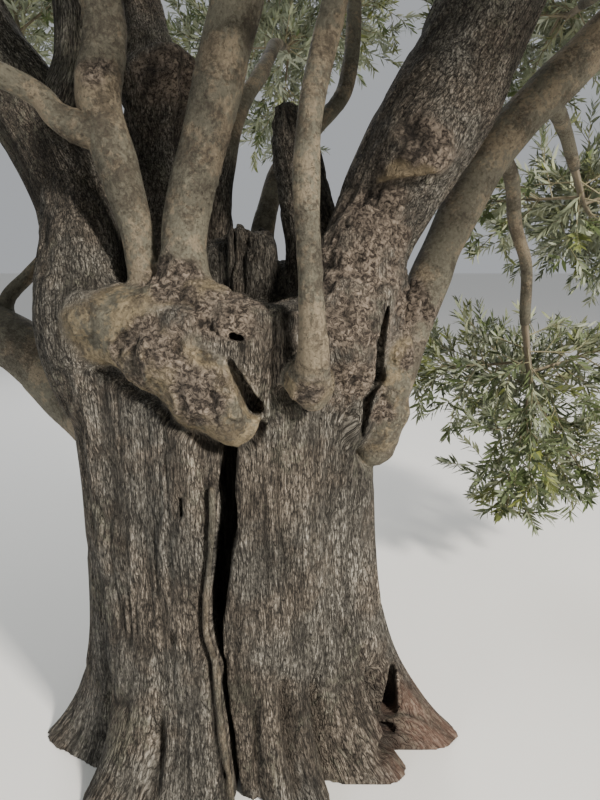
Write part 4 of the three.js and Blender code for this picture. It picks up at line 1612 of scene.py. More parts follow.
@dataclass(frozen=True)
class BarkFinish:
    """Bark: furrowed grey where old, olive and smooth where young, tan on burls, corky where broken."""

    name: str = "bark"
    ridge: int = 0x827D73
    ridge_warm: int = 0x82786B
    # Near black for furrows and cracks: partly their own colour, partly painted shade in creases, hollows and
    # under the burls
    deep: int = 0x15120F
    young: int = 0x605C4F
    young_tan: int = 0x766B59
    burl: int = 0x80735B
    burl_dark: int = 0x3B342B
    flake: int = 0x85786A
    flake_dark: int = 0x2C2520
    root: int = 0x785C4E
    scar: int = 0x6F634F
    lichen: int = 0x8E8D7A
    # Roughness of old bark and of smooth bark, and the reach of the relief too fine for the mesh
    rough_old: float = 0.95
    rough_smooth: float = 0.78
    specular: float = 0.25
    relief: float = 0.012

    def build(self, effects: Effects) -> Material:
        """Build the material from the mesh's masks and the shared groups.

        Args:
            effects: the shared groups.

        Returns:
            The material.
        """
        material, shader = new_material(self.name)
        sheet = BarkSheet(material.node_tree, effects)
        mask = sheet.mask
        colour = sheet.blend(mask["young"], self.old_bark(sheet), self.young_bark(sheet))
        colour = sheet.blend(mask["burl"], colour, self.swollen_wood(sheet))
        colour = sheet.blend(mask["crust"], colour, self.corky_bark(sheet))
        colour = sheet.blend(mask["decay"], colour, linear(self.root))
        wound = sheet.blend(sheet.times(sheet.stain, 0.5), linear(self.scar), linear(self.burl_dark))
        colour = sheet.blend(mask["scar"], colour, wound)
        smooth = sheet.sum("MAXIMUM", mask["young"], mask["burl"])
        rough = sheet.range(smooth, 0.0, 1.0, self.rough_old, self.rough_smooth)
        height = self.height(sheet)
        bump = sheet.add("ShaderNodeBump", {"Height": height, "Distance": self.relief, "Strength": 1.0})
        links = ((colour, "Base Color"), (rough, "Roughness"), (bump.outputs[0], "Normal"))
        for value, key in links:
            sheet.tree.links.new(value, shader.inputs[key])
        shader.inputs["Specular IOR Level"].default_value = self.specular
        return material

    def old_bark(self, sheet: BarkSheet) -> Socket:
        """Colour old bark: flecked ridges, streaks, stains, lichen, and dark furrows and cracks that are
        partly painted shade.

        Args:
            sheet: the bark's nodes.

        Returns:
            The colour.
        """
        colour = sheet.blend(sheet.patches(3.4, 0.42, 0.6, 0.3), linear(self.ridge), linear(self.ridge_warm))
        colour = sheet.shaded(colour, sheet.fibre["Fibre"], 0.32, 0.68, 0.42, 1.36)
        colour = sheet.shaded(colour, sheet.skin, 0.36, 0.64, 0.58, 1.34)
        # Darker above the fork, where the crown shades it
        up = sheet.add("ShaderNodeSeparateXYZ", {0: sheet.place}).outputs["Z"]
        colour = sheet.shaded(colour, up, 1.35, 1.8, 1.0, 0.86)
        colour = sheet.shaded(colour, sheet.streaks, 0.36, 0.64, 0.6, 1.2)
        stains = sheet.times(sheet.patches(2.3, 0.48, 0.62, 0.25), 0.4)
        colour = sheet.blend(stains, colour, linear(self.burl_dark))
        lichen = sheet.times(sheet.patches(4.5, 0.58, 0.68, 0.7), 0.3)
        colour = sheet.blend(lichen, colour, linear(self.lichen))
        # Furrows and cracks go near black, partly their own colour and partly painted shade
        cracks = sheet.times(sheet.fibre["Cracks"], sheet.mask["clear"])
        hidden = sheet.sum("MAXIMUM", sheet.times(sheet.mask["furrow"], 0.85), sheet.times(cracks, 0.95))
        return sheet.blend(hidden, colour, linear(self.deep))

    def young_bark(self, sheet: BarkSheet) -> Socket:
        """Colour young bark: olive and tan, stains, pores and scales; tan and stains are partly painted
        dappled light and shade.

        Args:
            sheet: the bark's nodes.

        Returns:
            The colour.
        """
        colour = sheet.blend(sheet.light, linear(self.young), linear(self.young_tan))
        for mask, share in ((sheet.stain, 0.55), (sheet.pits["Pores"], 0.5), (sheet.scaly, 0.65)):
            colour = sheet.blend(sheet.times(mask, share), colour, linear(self.burl_dark))
        colour = sheet.shaded(colour, sheet.skin, 0.3, 0.7, 0.8, 1.12)
        return sheet.blend(sheet.times(sheet.mask["furrow"], 0.6), colour, linear(self.deep))

    def swollen_wood(self, sheet: BarkSheet) -> Socket:
        """Colour burls: tan, with pores and with stains that are partly painted dappled shade.

        Args:
            sheet: the bark's nodes.

        Returns:
            The colour.
        """
        colour = sheet.blend(sheet.light, linear(self.burl), linear(self.young))
        for mask, share in ((sheet.stain, 0.65), (sheet.warts["Pores"], 0.3)):
            colour = sheet.blend(sheet.times(mask, share), colour, linear(self.burl_dark))
        return sheet.blend(sheet.mask["furrow"], colour, linear(self.deep))

    def corky_bark(self, sheet: BarkSheet) -> Socket:
        """Colour broken, corky bark: pale flakes with dark gaps and stains, partly painted shade.

        Args:
            sheet: the bark's nodes.

        Returns:
            The colour.
        """
        # Dark gaps between the crumbs, partly their own colour and partly painted shade
        gaps = sheet.times(sheet.warts["Pores"], 0.95)
        colour = sheet.blend(gaps, linear(self.flake), linear(self.flake_dark))
        colour = sheet.blend(sheet.times(sheet.stain, 0.45), colour, linear(self.flake_dark))
        return sheet.blend(sheet.times(sheet.mask["furrow"], 0.9), colour, linear(self.deep))

    def height(self, sheet: BarkSheet) -> Socket:
        """Give the relief that is too fine for the mesh.

        Args:
            sheet: the bark's nodes.

        Returns:
            The height.
        """
        mask, young = sheet.mask, sheet.mask["young"]
        soft = sheet.sum("MAXIMUM", young, sheet.sum("MAXIMUM", mask["burl"], mask["crust"]))
        flecked = sheet.sum("MULTIPLY_ADD", sheet.skin, 0.5, sheet.fibre["Height"])
        height = sheet.times(sheet.times(flecked, mask["clear"]), sheet.sum("SUBTRACT", 1.0, soft))
        flaky = sheet.sum("ADD", mask["crust"], sheet.times(sheet.scaly, 0.3))
        spongy = sheet.sum("ADD", sheet.times(mask["burl"], 0.35), flaky)
        parts = ((sheet.skin, sheet.times(young, 0.4)), (sheet.pits["Height"], sheet.times(young, 0.2)),
                 (sheet.warts["Height"], spongy))
        for relief, share in parts:
            height = sheet.sum("ADD", height, sheet.times(relief, share))
        return height


@dataclass(frozen=True)
class LeafFinish:
    """A leaf's two sides: grey-green above, silvery below."""

    name: str
    upper: int
    under: int
    roughness: float = 0.5
    under_roughness: float = 0.75
    specular: float = 0.4

    def build(self) -> Material:
        """Build the material, with its colour from the side that shows.

        Returns:
            The material.
        """
        material, shader = new_material(self.name)
        sheet = NodeSheet(material.node_tree)
        back = sheet.add("ShaderNodeNewGeometry").outputs["Backfacing"]
        colour = sheet.blend(back, linear(self.upper), linear(self.under))
        sheet.tree.links.new(colour, shader.inputs["Base Color"])
        rough = sheet.range(back, 0.0, 1.0, self.roughness, self.under_roughness)
        sheet.tree.links.new(rough, shader.inputs["Roughness"])
        shader.inputs["Specular IOR Level"].default_value = self.specular
        return material


LEAF_FINISHES = (
    LeafFinish("leaf_deep", 0x414B2E, 0x7F8670),
    LeafFinish("leaf_green", 0x515D38, 0x8A9176),
    LeafFinish("leaf_grey", 0x5F694A, 0x979C87),
    LeafFinish("leaf_olive", 0x616838, 0x8F9476),
    LeafFinish("leaf_young", 0x7E8443, 0x9EA37B, 0.42),
    LeafFinish("leaf_silver", 0x6E775C, 0xA4A996),
)
# How common each finish is among the sprays
LEAF_SHARES = (0.22, 0.27, 0.2, 0.16, 0.06, 0.09)


@dataclass(frozen=True)
class TwigFinish:
    """Thin grey-brown twigs, greener at their ends."""

    name: str = "twig"
    wood: int = 0x756A58
    fresh: int = 0x87835F
    dark: int = 0x4B4336
    roughness: float = 0.8

    def build(self, effects: Effects) -> Material:
        """Build the material, greener where the twig is thin.

        Args:
            effects: the shared groups.

        Returns:
            The material.
        """
        material, shader = new_material(self.name)
        sheet = NodeSheet(material.node_tree)
        fresh = sheet.attribute("fresh").outputs["Fac"]
        patch = sheet.group(effects.patches, Place=sheet.place_of_object(), Scale=8.0, Low=0.4, High=0.65,
                            Speckle=0.5)
        colour = sheet.blend(fresh, linear(self.wood), linear(self.fresh))
        colour = sheet.blend(sheet.times(patch.outputs[0], 0.4), colour, linear(self.dark))
        sheet.tree.links.new(colour, shader.inputs["Base Color"])
        shader.inputs["Roughness"].default_value = self.roughness
        return material


# Pieces


@dataclass
class TrunkPieces:
    """The trunk's feet and lobes, left and right of the cleft, as pieces of the scene."""

    wood: TrunkWood
    finish: Material

    def build(self) -> None:
        """Make the skin, share it out between the feet and lobes and dress it."""
        vertices, faces = self.wood.surface()
        sample = self.wood.sample(vertices)
        wide = self.wood.radius(np.arctan2(vertices[:, 1], vertices[:, 0]), vertices[:, 2])
        inside = wide - np.hypot(vertices[:, 0], vertices[:, 1])
        low = vertices[:, 2] < self.wood.sizes.cleft[-1][0]
        # Painted shade deep inside the trunk's outline, in the cleft and the hollows
        shaded_hollow = smooth_step(inside, 0.03, 0.07) * low
        ground = smooth_step(vertices[:, 0], 0.44, 0.62) * smooth_step(-vertices[:, 2], -0.3, -0.1)
        beside = self.wood.roll(vertices)
        roll = 1 - smooth_step(beside, 0.0, 0.005)
        # Painted shade in the groove beside the roll of new wood
        groove = 0.75 * np.exp(-(((beside - self.wood.sizes.groove_at) / 0.005) ** 2))
        attributes = {
            "grain": sample.grain,
            "furrow": np.clip(sample.furrow + 0.6 * shaded_hollow + groove, 0, 1),
            "burl": smooth_step(sample.burl, 0.25, 0.75) * (1 - shaded_hollow),
            "young": np.maximum(smooth_step(sample.young, 0.2, 0.8), 0.55 * roll * (1 - shaded_hollow)),
            "crust": sample.crust,
            "clear": np.clip(sample.clear * 4, 0, 1),
            "decay": ground * (1 - sample.furrow) * 0.6,
            "scar": np.zeros(len(vertices)),
        }
        normals = self.skin_normals(vertices, faces)
        middle, _ = self.wood.cleft_at(vertices[:, 2])
        right = (vertices[:, 0] > middle)[faces].mean(1) > 0.5
        upper = (vertices[:, 2] > self.wood.sizes.waist)[faces].mean(1) > 0.5
        shares = {"left_foot": ~right & ~upper, "right_foot": right & ~upper,
                  "left_lobe": ~right & upper, "right_lobe": right & upper}
        for name, keep in shares.items():
            part, quads, values = part_of(vertices, faces, keep, {**attributes, "normal_here": normals})
            shading = values.pop("normal_here")
            piece = mesh_object(f"trunk_{name}", part, quads, attributes=values)
            piece.data.normals_split_custom_set_from_vertices(shading)
            piece.data.materials.append(self.finish)
            place_piece(piece, Bark.OLD.value, "trunk")

    @staticmethod
    def skin_normals(vertices: Array, faces: Array) -> Array:
        """Give each vertex the mean direction of the faces round it.

        Args:
            vertices: places, one in each row.
            faces: rows of vertex numbers.

        Returns:
            Unit vectors.
        """
        a, b, c, d = (vertices[faces[:, k]] for k in range(4))
        face = np.cross(c - a, d - b)
        total = np.zeros_like(vertices)
        for k in range(4):
            for axis in range(3):
                total[:, axis] += np.bincount(faces[:, k], face[:, axis], len(vertices))
        return unit(total)


@dataclass
class BoughPieces:
    """Boughs and branches as tubes with the bark's relief, each starting inside the wood that carries it."""

    plan: TreePlan
    wood: TrunkWood
    finish: Material
    # Steps between rings, near the camera up to a height and further off
    fine: float = 0.0075
    coarse: float = 0.03
    close_height: float = 2.45
    most_sides: int = 120
    # How far past its seam a bough starts, and how far below the trunk's skin, over what length
    past_seam: float = 0.02
    seam_drop: float = 0.004
    seam_length: float = 0.035
    branch_flare: float = 0.28
    # The broken end of a stub: how long, how jagged across and along
    broken_length: float = 0.12
    broken_skin: float = 0.026
    broken_top: float = 0.035

    def build(self) -> None:
        """Make every bough and branch."""
        for limb in self.plan.limbs.values():
            self.limb_piece(limb)

    def stations(self, limb: Limb, start: float) -> Array:
        """Give how far along its line each ring of a limb is, from its start on.

        Args:
            limb: the limb.
            start: how far along the first ring is.

        Returns:
            Distances along the line.
        """
        step = np.where(limb.path[:, 2] < self.close_height, self.fine, self.coarse)
        step = np.maximum(step, limb.line.radius(limb.shares) * 0.05)
        spent = np.cumsum(np.gradient(limb.walked) / step)
        first, last = np.interp([start, limb.walked[-1]], limb.walked, spent)
        return np.interp(np.linspace(first, last, max(12, int(last - first))), spent, limb.walked)

    def shaped(self, limb: Limb, along: Array, start: float, height: Array,
               radii: Array) -> Array:
        """Narrow or widen a limb's rings at its foot and past its knot.

        Args:
            limb: the limb.
            along: how far along its line each ring is.
            start: how far along the first one is.
            height: how high each ring is.
            radii: each ring's radius.

        Returns:
            The new radii.
        """
        if limb.parent is None:
            radii = radii - self.seam_drop * (1 - smooth_step(along, start, start + self.seam_length))
        else:
            beyond = np.maximum(along - limb.seam_at * 0.55, 0) / (1.3 * radii)
            radii = radii * (1 + self.branch_flare * np.exp(-(beyond**2)))
        if limb.knot:
            radii = radii * mix(1.0, limb.knot.beyond, smooth_step(height, limb.knot.z, limb.knot.z + 0.2))
        return radii

    def limb_piece(self, limb: Limb) -> None:
        """Make one limb's skin, dress it and place it.

        Args:
            limb: the limb.
        """
        start = limb.seam_at + self.past_seam if limb.parent is None else 0.0
        along = self.stations(limb, start)
        places, radii, side, other = limb.at(along)
        count = len(along)
        around_step = self.fine if places[0][2] < self.close_height - 0.2 else self.coarse / 2
        sides = int(np.clip(2 * math.pi * radii.max() / around_step, 14, self.most_sides))
        angle = np.linspace(0, 2 * math.pi, sides, endpoint=False)
        radii = self.shaped(limb, along, start, places[:, 2], radii)
        cosine, sine = np.tile(np.cos(angle), count), np.tile(np.sin(angle), count)
        grain = limb.grain(cosine, sine, np.repeat(along, sides))
        centres = np.repeat(places, sides, 0)
        height, furrow, young = limb.bark_at(grain, centres[:, 2])
        outward = np.repeat(side, sides, 0) * cosine[:, None] + np.repeat(other, sides, 0) * sine[:, None]
        spread = np.repeat(radii, sides)
        spread = spread + height * np.clip(spread / limb.girth, 0.3, 1)
        if limb.name == "stub_middle":
            end = limb.walked[-1]
            broken = smooth_step(np.repeat(along, sides), end - self.broken_length, end)
            spread = spread + broken * self.broken_skin * noise(grain / (0.02, 0.02, 0.06), Seed.STUB_SKIN)
            jagged = broken * self.broken_top * noise(grain / (0.025, 0.025, 0.5), Seed.STUB_TOP)
            centres = centres + UP * jagged[:, None]
        vertices = centres + outward * spread[:, None]
        scar, crust = np.zeros(len(vertices)), np.zeros(len(vertices))
        if limb.knot:
            vertices, scar, crust = self.swell(limb.knot, vertices, outward)
        if limb.parent is None:
            # The trunk's crusty patches run on over the seam
            flaky = self.wood.crust_share(vertices)
            rough, _ = RELIEF.crust(vertices)
            vertices = vertices + outward * (flaky * rough)[:, None]
            crust = np.maximum(crust, flaky)
        tip = places[-1] + unit(places[-1] - places[-2]) * radii[-1] * 0.4
        vertices = np.vstack([vertices, places[0], tip])
        masks = dict.fromkeys(BARK_VALUES, np.zeros(len(vertices)))
        masks.update(furrow=np.append(furrow, [0, 0]), young=np.append(young, young[[0, -1]]),
                     clear=np.ones(len(vertices)), scar=np.append(scar, [0, 0]),
                     crust=np.append(crust, [0, 0]), grain=np.vstack([grain, grain[:1], grain[-1:]]))
        faces, ends = self.grid_faces(count, sides), self.cap_faces(count, sides)
        flat = np.concatenate([faces.reshape(-1), ends.reshape(-1)])
        counts = np.repeat([4, 3], [len(faces), len(ends)])
        piece = mesh_object(f"{limb.name}_bark", vertices, flat, counts, masks)
        piece.data.materials.append(self.finish)
        place_piece(piece, limb.bark.value, limb.name)

    @staticmethod
    def swell(knot: Knot, vertices: Array,
              outward: Array) -> tuple[Array, Array, Array]:
        """Raise a knot on a limb's front.

        Args:
            knot: its sizes.
            vertices: the limb's skin.
            outward: each vertex's direction away from the limb's line.

        Returns:
            The skin with the knot, and the masks of its smooth wound and its crusty bark.
        """
        x, _, z = vertices.T
        facing = smooth_step(-outward[:, 1], 0.0, 0.5)
        over = z - knot.cut - knot.slope * (x - knot.x)
        if knot.flat_top:
            over = -over
        bulge = np.exp(-((x - knot.x) ** 2 + (z - knot.z) ** 2) / knot.radius**2) * facing
        side = np.clip(1 - np.abs(x - knot.wound_x) / knot.wound, 0, 1) if knot.wound else np.zeros(len(x))
        shelf = smooth_step(side, 0.0, 0.5) * np.exp(-(np.maximum(over, 0) / 0.05) ** 2) * facing
        # The cut is sharp under the knot and fades out beside it
        beside = np.abs(x - (knot.wound_x or knot.x)) / (knot.wound or knot.radius)
        rough, _ = RELIEF.crust(vertices)
        lumpy = 1 + 0.6 * noise(vertices / 0.055, Seed.KNOT_LUMPS)
        edge = mix(0.007, 0.06, smooth_step(beside, 0.8, 1.6))
        lift = knot.depth * np.maximum(bulge * lumpy, shelf) + rough * bulge
        lift = lift * smooth_step(over / edge, -1, 1)
        ragged = 1 + 0.5 * noise(vertices / 0.025, Seed.WOUND_EDGE)
        scar = smooth_step(np.sqrt(side) * knot.wound_height * ragged - over, 0.0, 0.02)
        scar = scar * smooth_step(over, -0.012, 0.0) * facing
        crust = smooth_step(bulge + 0.35 * noise(vertices / 0.04, Seed.KNOT_CRUST), 0.35, 0.75)
        crust = crust * smooth_step(over, -0.05, 0.03)
        lean = 0.0 if knot.flat_top else 0.4
        return vertices + unit(outward - lean * UP) * lift[:, None], scar, crust

    @staticmethod
    def grid_faces(rings: int, sides: int) -> Array:
        """Give the faces between rings of vertices.

        Args:
            rings: how many rings.
            sides: vertices in each.

        Returns:
            Rows of four vertex numbers.
        """
        ring, side = np.meshgrid(np.arange(rings - 1), np.arange(sides), indexing="ij")
        ring, side, ahead = ring.ravel(), side.ravel(), (side.ravel() + 1) % sides
        return np.stack([ring * sides + side, ring * sides + ahead,
                         (ring + 1) * sides + ahead, (ring + 1) * sides + side], 1)

    @staticmethod
    def cap_faces(rings: int, sides: int) -> Array:
        """Give the fans that close a tube's two ends.

        Args:
            rings: how many rings.
            sides: vertices in each.

        Returns:
            Rows of three vertex numbers.
        """
        side, ahead = np.arange(sides), (np.arange(sides) + 1) % sides
        bottom, top, last = rings * sides, rings * sides + 1, (rings - 1) * sides
        return np.vstack([np.stack([np.full(sides, bottom), ahead, side], 1),
                          np.stack([np.full(sides, top), last + side, last + ahead], 1)])


@dataclass
class Shoots:
    """Many shoots, each of two straight stretches."""

    start: Array
    middle: Array
    end: Array

    def at(self, share: Array) -> tuple[Array, Array]:
        """Give places and headings at a share of each shoot.

        Args:
            share: a share for each shoot.

        Returns:
            Places and unit vectors.
        """
        share = share[:, None]
        first = share < 0.5
        place = np.where(first, mix(self.start, self.middle, share * 2),
                         mix(self.middle, self.end, share * 2 - 1))
        heading = unit(np.where(first, self.middle - self.start, self.end - self.middle))
        return place, heading

    def __len__(self) -> int:
        """Give how many shoots there are."""
        return len(self.start)

    @staticmethod
    def joined(groups: list["Shoots"]) -> "Shoots":
        """Join several groups of shoots."""
        return Shoots(*(np.vstack([getattr(g, key) for g in groups]) for key in ("start", "middle", "end")))

    def where(self, keep: Array | slice) -> "Shoots":
        """Take some of the shoots."""
        return Shoots(self.start[keep], self.middle[keep], self.end[keep])


@dataclass(frozen=True)
class LeafRule:
    """Size, outline and place of olive leaves."""

    length: float = 0.074
    width: float = 0.0155
    # Half widths at shares of the length
    outline: tuple = ((0.3, 1.0), (0.66, 0.82))
    droop: float = 0.1
    # Between pairs along a shoot, and where along it they begin
    spacing: float = 0.017
    first: float = 0.25
    # Least and most tilt away from the shoot, and length as a share
    tilt: tuple = (0.55, 1.05)
    lengths: tuple = (0.65, 1.12)
    sway: float = 0.25
    facing_up: float = 0.55


@dataclass(frozen=True)
class ShootRule:
    """How shoots fork from what carries them."""

    # Tilt at the parent's foot and at its end
    tilt: tuple = (1.15, 0.45)
    tilt_spread: float = 0.16
    lift: float = 0.16
    lift_spread: float = 0.1
    lengths: tuple = (0.7, 1.2)
    # Shoots end at uneven depths below the mass's edge, so that its outline stays ragged
    margins: tuple = (0.9, 3.2)
    # How the outer half strays, and how far it hangs
    stray: float = 0.22
    hang: tuple = (-0.1, 0.3)
    least_room: float = 0.04
    least_half: float = 0.02
    # Radii of stem, twigs, side shoots and last shoots at foot, bend and end, and how fresh each half is
    girths: tuple = (
        ((0.019, 0.016, 0.007), (0.0, 0.1)),
        ((0.0085, 0.0062, 0.003), (0.15, 0.3)),
        ((0.0036, 0.0027, 0.0015), (0.5, 0.7)),
        ((0.002, 0.0015, 0.0009), (0.8, 1.0)),
    )


@dataclass
class Crown:
    """The masses of foliage: stems, twigs and shoots that carry the source's rule further, with leaves."""

    plan: TreePlan
    leaf_materials: list
    twig_material: Material
    leaf: LeafRule = LeafRule()
    shoot: ShootRule = ShootRule()
    # Shoots along each twig and along each of those, and most pairs of leaves on one shoot
    side_shoots: int = 10
    last_shoots: int = 6
    pairs: int = 9
    # Masses near the camera carry more shoots
    near_masses: tuple = ("skirt_1", "skirt_2", "low_1", "low_2", "low_3", "middle_1")
    near_fullness: float = 1.5
    groups: tuple = (
        ("low_right", ("low_1", "low_2", "low_9")),
        ("low_back", ("low_3", "low_4", "low_5")),
        ("low_front", ("low_6", "low_7", "low_8")),
        ("middle_front", ("middle_5", "middle_6", "middle_7")),
        ("middle_back", ("middle_1", "middle_2", "middle_3", "middle_4")),
        ("upper", ("upper_1", "upper_2", "upper_3", "upper_4", "top_1")),
        ("skirt", ("skirt_1", "skirt_2")),
    )

    def build(self) -> None:
        """Grow every mass and join what it makes into pieces by group."""
        twig_parts, twig_nodes = [], []
        for name, members in self.groups:
            leaf_parts, nodes = [], []
            for index, mass in enumerate(self.plan.masses):
                if mass.name in members:
                    tubes, leaves = self.grow_mass(index)
                    twig_parts.extend(tubes)
                    leaf_parts.append(leaves)
                    nodes.append(f"leaves_{mass.name}")
            self.leaf_piece(f"leaves_{name}", leaf_parts, nodes)
            twig_nodes.extend(nodes)
        self.twig_piece("twigs", twig_parts, twig_nodes)

    def fullness(self, index: int) -> float:
        """Give how much fuller a mass is than the rest."""
        return self.near_fullness if self.plan.masses[index].name in self.near_masses else 1.0

    def fork(self, index: int, parents: Shoots, count: int, first: float, lengths: tuple,
             rng: np.random.Generator, margin: float) -> Shoots:
        """Grow shoots from shoots.

        Args:
            index: which mass they belong to.
            parents: the shoots that carry them.
            count: how many on each.
            first: the share of the parent where they begin.
            lengths: length at the parent's foot and at its end.
            rng: random numbers.
            margin: least room kept beyond a shoot's end, for its leaves.

        Returns:
            The new shoots, none outside the mass's space or against a limb.
        """
        rule = self.shoot
        step = np.tile(np.arange(count), len(parents))
        whole = parents.where(np.repeat(np.arange(len(parents)), count))
        share = first + (1 - first) * (step + rng.random(len(step))) / count
        place, heading = whole.at(np.minimum(share, LAST_SHARE))
        roll = step * GOLDEN_ANGLE + np.repeat(rng.random(len(parents)), count) * ANY_TURN
        tilt = mix(*rule.tilt, share) + rng.normal(0, rule.tilt_spread, len(step))
        out = turned(heading, tilt, roll)
        out = unit(out + UP * (rule.lift + rule.lift_spread * rng.normal(size=(len(step), 1))))
        wanted = mix(*lengths, share) * rng.uniform(*rule.lengths, len(step))
        margin = margin * rng.uniform(*rule.margins, len(step))
        room = self.plan.room(index, place, out) - margin
        length = np.minimum(wanted, room)[:, None]
        middle = place + out * length * 0.5
        bent = out + rng.normal(0, rule.stray, out.shape)
        bent = unit(bent - UP * rng.uniform(*rule.hang, (len(step), 1)))
        length = np.minimum(length * 0.5, (self.plan.room(index, middle, bent) - margin)[:, None])
        made = Shoots(place, middle, middle + bent * length)
        made = made.where((room > rule.least_room) & (length[:, 0] > rule.least_half))
        parts = np.array_split(np.arange(len(made)), max(1, len(made) // 400))
        touching = [self.plan.touches_wood(made.start[part], made.end[part], 0.0) for part in parts]
        return made.where(~np.concatenate(touching))

    def grow_mass(self, index: int) -> tuple[list, tuple]:
        """Grow one mass.

        Args:
            index: which mass.

        Returns:
            Its tubes (starts, ends, radii, freshness), and its leaves.
        """
        growth, rule = self.plan.grow(index), self.plan.rule
        rng = np.random.default_rng(self.plan.masses[index].seed)
        stem = Shoots(*(place[None] for place in growth.stem))
        twigs = [Shoots(a[None], ((a + b) / 2)[None], b[None]) for a, _, b in self.fitted(index, growth)]
        sprays = []
        for at, lay in growth.sprays:
            length = min(float(self.plan.room(index, at[None], lay[None])[0]) - 0.05, rule.blade * 0.85)
            if length > 0.06:
                sprays.append(Shoots(at[None], (at + lay * length / 2)[None], (at + lay * length)[None]))
        main = Shoots.joined([*twigs, stem])
        count = round(self.side_shoots * self.fullness(index))
        side = Shoots.joined([self.fork(index, main, count, 0.15, (0.42, 0.24), rng, 0.05), *sprays])
        last = self.fork(index, side, self.last_shoots, 0.12, (0.22, 0.13), rng, 0.045)
        tubes = []
        for shoots, (radii, fresh) in zip((stem, main.where(slice(-1)), side, last), self.shoot.girths):
            tubes += [(shoots.start, shoots.middle, *radii[:2], fresh[0]),
                      (shoots.middle, shoots.end, *radii[1:], fresh[1])]
        return tubes, self.leaves_on(index, Shoots.joined([last, side, Shoots.joined(twigs)]), rng)

    def fitted(self, index: int, growth: Growth) -> list:
        """Give each twig with its end drawn in by a leaf's length, so that its leaves stay in the space."""
        return [(a, tip, end + unit(a - end) * self.leaf.length) for a, tip, end in growth.twigs]

    def leaves_on(self, index: int, shoots: Shoots, rng: np.random.Generator) -> tuple:
        """Set pairs of leaves along shoots, each pair turned a quarter from the last.

        Args:
            index: which mass.
            shoots: what they grow on.
            rng: random numbers.

        Returns:
            Bases, directions, upper sides, lengths and finishes of the leaves.
        """
        rule = self.leaf
        lengths = np.linalg.norm(shoots.end - shoots.start, axis=1)
        pairs = np.clip(np.rint(lengths / rule.spacing), 4, self.pairs).astype(int)
        which = np.repeat(np.arange(len(shoots)), pairs)
        step = np.concatenate([np.arange(n) for n in pairs])
        share = rule.first + (1 - rule.first) * (step + 0.6) / pairs[which]
        place, heading = shoots.where(which).at(np.minimum(share, LAST_SHARE))
        spin = rng.random(len(shoots))[which] * ANY_TURN + step * math.pi / 2
        place, heading = np.repeat(place, 2, 0), np.repeat(heading, 2, 0)
        spin = np.repeat(spin, 2) + np.tile([0, math.pi], len(step)) + rng.normal(0, rule.sway, len(step) * 2)
        tilt = rng.uniform(*rule.tilt, len(spin)) * np.repeat(1 - 0.35 * share, 2)
        lay = turned(heading, tilt, spin)
        above = heading + rule.facing_up * UP
        square = above - lay * np.sum(above * lay, 1, keepdims=True)
        upper = unit(square + rng.normal(0, rule.sway, lay.shape))
        upper = unit(upper - lay * np.sum(upper * lay, 1, keepdims=True))
        size = rule.length * rng.uniform(*rule.lengths, len(spin)) * np.repeat(1.05 - 0.3 * share, 2)
        finish = np.repeat(rng.choice(len(LEAF_SHARES), len(shoots), p=LEAF_SHARES)[which], 2)
        good = self.plan.room(index, place, lay) > size * 0.9
        return place[good], lay[good], upper[good], size[good], finish[good]

    def leaf_piece(self, name: str, parts: list, nodes: list) -> None:
        """Join leaves into one piece.

        Args:
            name: the piece's name.
            parts: leaves of each mass, as leaves_on gives them.
            nodes: the nodes that the piece stands for, with the twigs.
        """
        base, lay, upper, size, finish = (np.concatenate(column) for column in zip(*parts))
        across = np.cross(lay, upper)
        size = size[:, None]
        half = self.leaf.width / self.leaf.length / 2 * size
        rows = [base]
        for share, wide in self.leaf.outline:
            spine = base + lay * size * share - upper * size * self.leaf.droop * share**2
            rows += [spine - across * half * wide, spine + across * half * wide]
        rows.append(base + lay * size - upper * size * self.leaf.droop)
        vertices = np.stack(rows, 1).reshape(-1, 3)
        pattern = np.array([0, 2, 1, 1, 2, 4, 3, 3, 4, 5])
        flat = (np.arange(len(base))[:, None] * 6 + pattern).reshape(-1)
        counts = np.tile([3, 4, 3], len(base))
        piece = mesh_object(name, vertices, flat, counts, smooth=False)
        for material in self.leaf_materials:
            piece.data.materials.append(material)
        piece.data.polygons.foreach_set("material_index", np.repeat(finish, 3).astype(np.int32))
        piece.data.update()
        place_piece(piece, "foliage", *nodes)

    def twig_piece(self, name: str, tubes: list, nodes: list) -> None:
        """Join twigs into one piece of three-sided tubes.

        Args:
            name: the piece's name.
            tubes: starts, ends, two radii and freshness of each set.
            nodes: the nodes that the piece stands for, with the leaves.
        """
        start, end = (np.vstack([tube[k] for tube in tubes]) for k in (0, 1))
        counts = [len(tube[0]) for tube in tubes]
        wide, thin, fresh = (np.repeat([tube[k] for tube in tubes], counts) for k in (2, 3, 4))
        side, other = square_to(unit(end - start))
        rows = []
        for place, radius in ((start, wide), (end, thin)):
            for k in range(3):
                angle = k * 2 * math.pi / 3
                rows.append(place + radius[:, None] * (side * math.cos(angle) + other * math.sin(angle)))
        vertices = np.stack(rows, 1).reshape(-1, 3)
        pattern = np.array([0, 1, 4, 3, 1, 2, 5, 4, 2, 0, 3, 5])
        faces = (np.arange(len(start))[:, None] * 6 + pattern).reshape(-1, 4)
        piece = mesh_object(name, vertices, faces, attributes={"fresh": np.repeat(fresh, 6)})
        piece.data.materials.append(self.twig_material)
        place_piece(piece, "foliage", *nodes)


# Studio


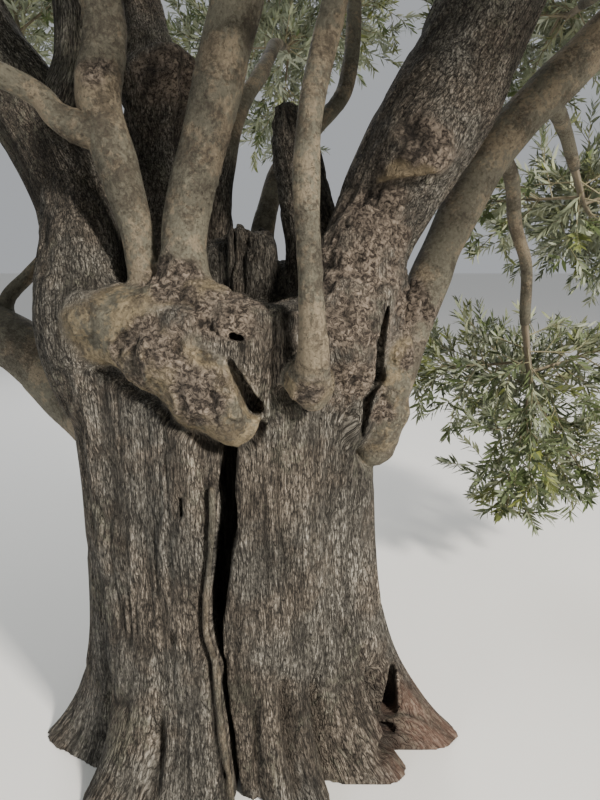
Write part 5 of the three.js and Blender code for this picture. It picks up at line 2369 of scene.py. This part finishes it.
@dataclass(frozen=True)
class Studio:
    """Camera at the photo's viewing angle, soft lights and a pale floor."""

    camera_at: tuple = (0.24, -1.85, 1.55)
    pitch_down: float = 13.0
    lens: float = 27.0
    sensor: float = 36.0
    floor_size: float = 160.0
    floor_colour: int = 0xE9E7E2
    floor_roughness: float = 0.9
    # Lights: name, place, power, size, colour
    lights: tuple = (
        ("key", (5.2, -5.4, 5.2), 1450.0, 1.0, (1.0, 0.95, 0.88)),
        ("fill", (-5.5, -4.0, 3.0), 170.0, 3.0, (0.9, 0.95, 1.0)),
        ("back", (-1.5, 6.5, 6.0), 420.0, 4.0, (0.97, 0.98, 1.0)),
    )
    lights_aim: tuple = (0.0, 0.0, 2.0)
    sky: tuple = (0.86, 0.89, 0.93, 1.0)
    sky_strength: float = 0.48

    def build(self) -> None:
        """Make the camera, lights, floor and background."""
        self.camera()
        self.floor()
        for light in self.lights:
            self.light(*light)
        world = bpy.data.worlds.new("pale")
        bpy.context.scene.world = world
        world.use_nodes = True
        background = world.node_tree.nodes["Background"]
        background.inputs["Color"].default_value = self.sky
        background.inputs["Strength"].default_value = self.sky_strength

    def camera(self) -> None:
        """Make the camera."""
        data = bpy.data.cameras.new("view")
        data.lens, data.sensor_width, data.sensor_fit = self.lens, self.sensor, "AUTO"
        made = bpy.data.objects.new("view", data)
        made.location = self.camera_at
        made.rotation_euler = (math.radians(90 - self.pitch_down), 0.0, 0.0)
        bpy.context.scene.collection.objects.link(made)
        bpy.context.scene.camera = made

    def floor(self) -> None:
        """Make the pale floor."""
        half = self.floor_size / 2
        corners = np.array([(-half, -half, 0), (half, -half, 0), (half, half, 0), (-half, half, 0)])
        made = mesh_object("floor", corners - (0, 0, 0.001), np.array([[0, 1, 2, 3]]), smooth=False)
        material, shader = new_material("floor")
        shader.inputs["Base Color"].default_value = linear(self.floor_colour)
        shader.inputs["Roughness"].default_value = self.floor_roughness
        made.data.materials.append(material)

    def light(self, name: str, place: tuple, power: float, size: float, colour: tuple) -> None:
        """Make one soft light that faces the trunk's fork.

        Args:
            name: its name.
            place: where it is.
            power: in watts.
            size: its side.
            colour: red, green and blue.
        """
        data = bpy.data.lights.new(name, "AREA")
        data.energy, data.size, data.color = power, size, colour
        made = bpy.data.objects.new(name, data)
        made.location = place
        aim = Vector(self.lights_aim) - Vector(place)
        made.rotation_euler = aim.to_track_quat("-Z", "Y").to_euler()
        bpy.context.scene.collection.objects.link(made)


def main() -> None:
    """Build the tree's pieces in order, then the studio."""
    logging.basicConfig(level=logging.INFO, format="%(message)s")
    plan = TreePlan(CrownRule())
    effects = Effects.build()
    bark = BarkFinish().build(effects)
    wood = TrunkWood(plan, cell=0.007)
    TrunkPieces(wood, bark).build()
    BoughPieces(plan, wood, bark).build()
    leaves = [finish.build() for finish in LEAF_FINISHES]
    Crown(plan, leaves, TwigFinish().build(effects)).build()
    Studio().build()
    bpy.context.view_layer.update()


if __name__ == "__main__":
    main()
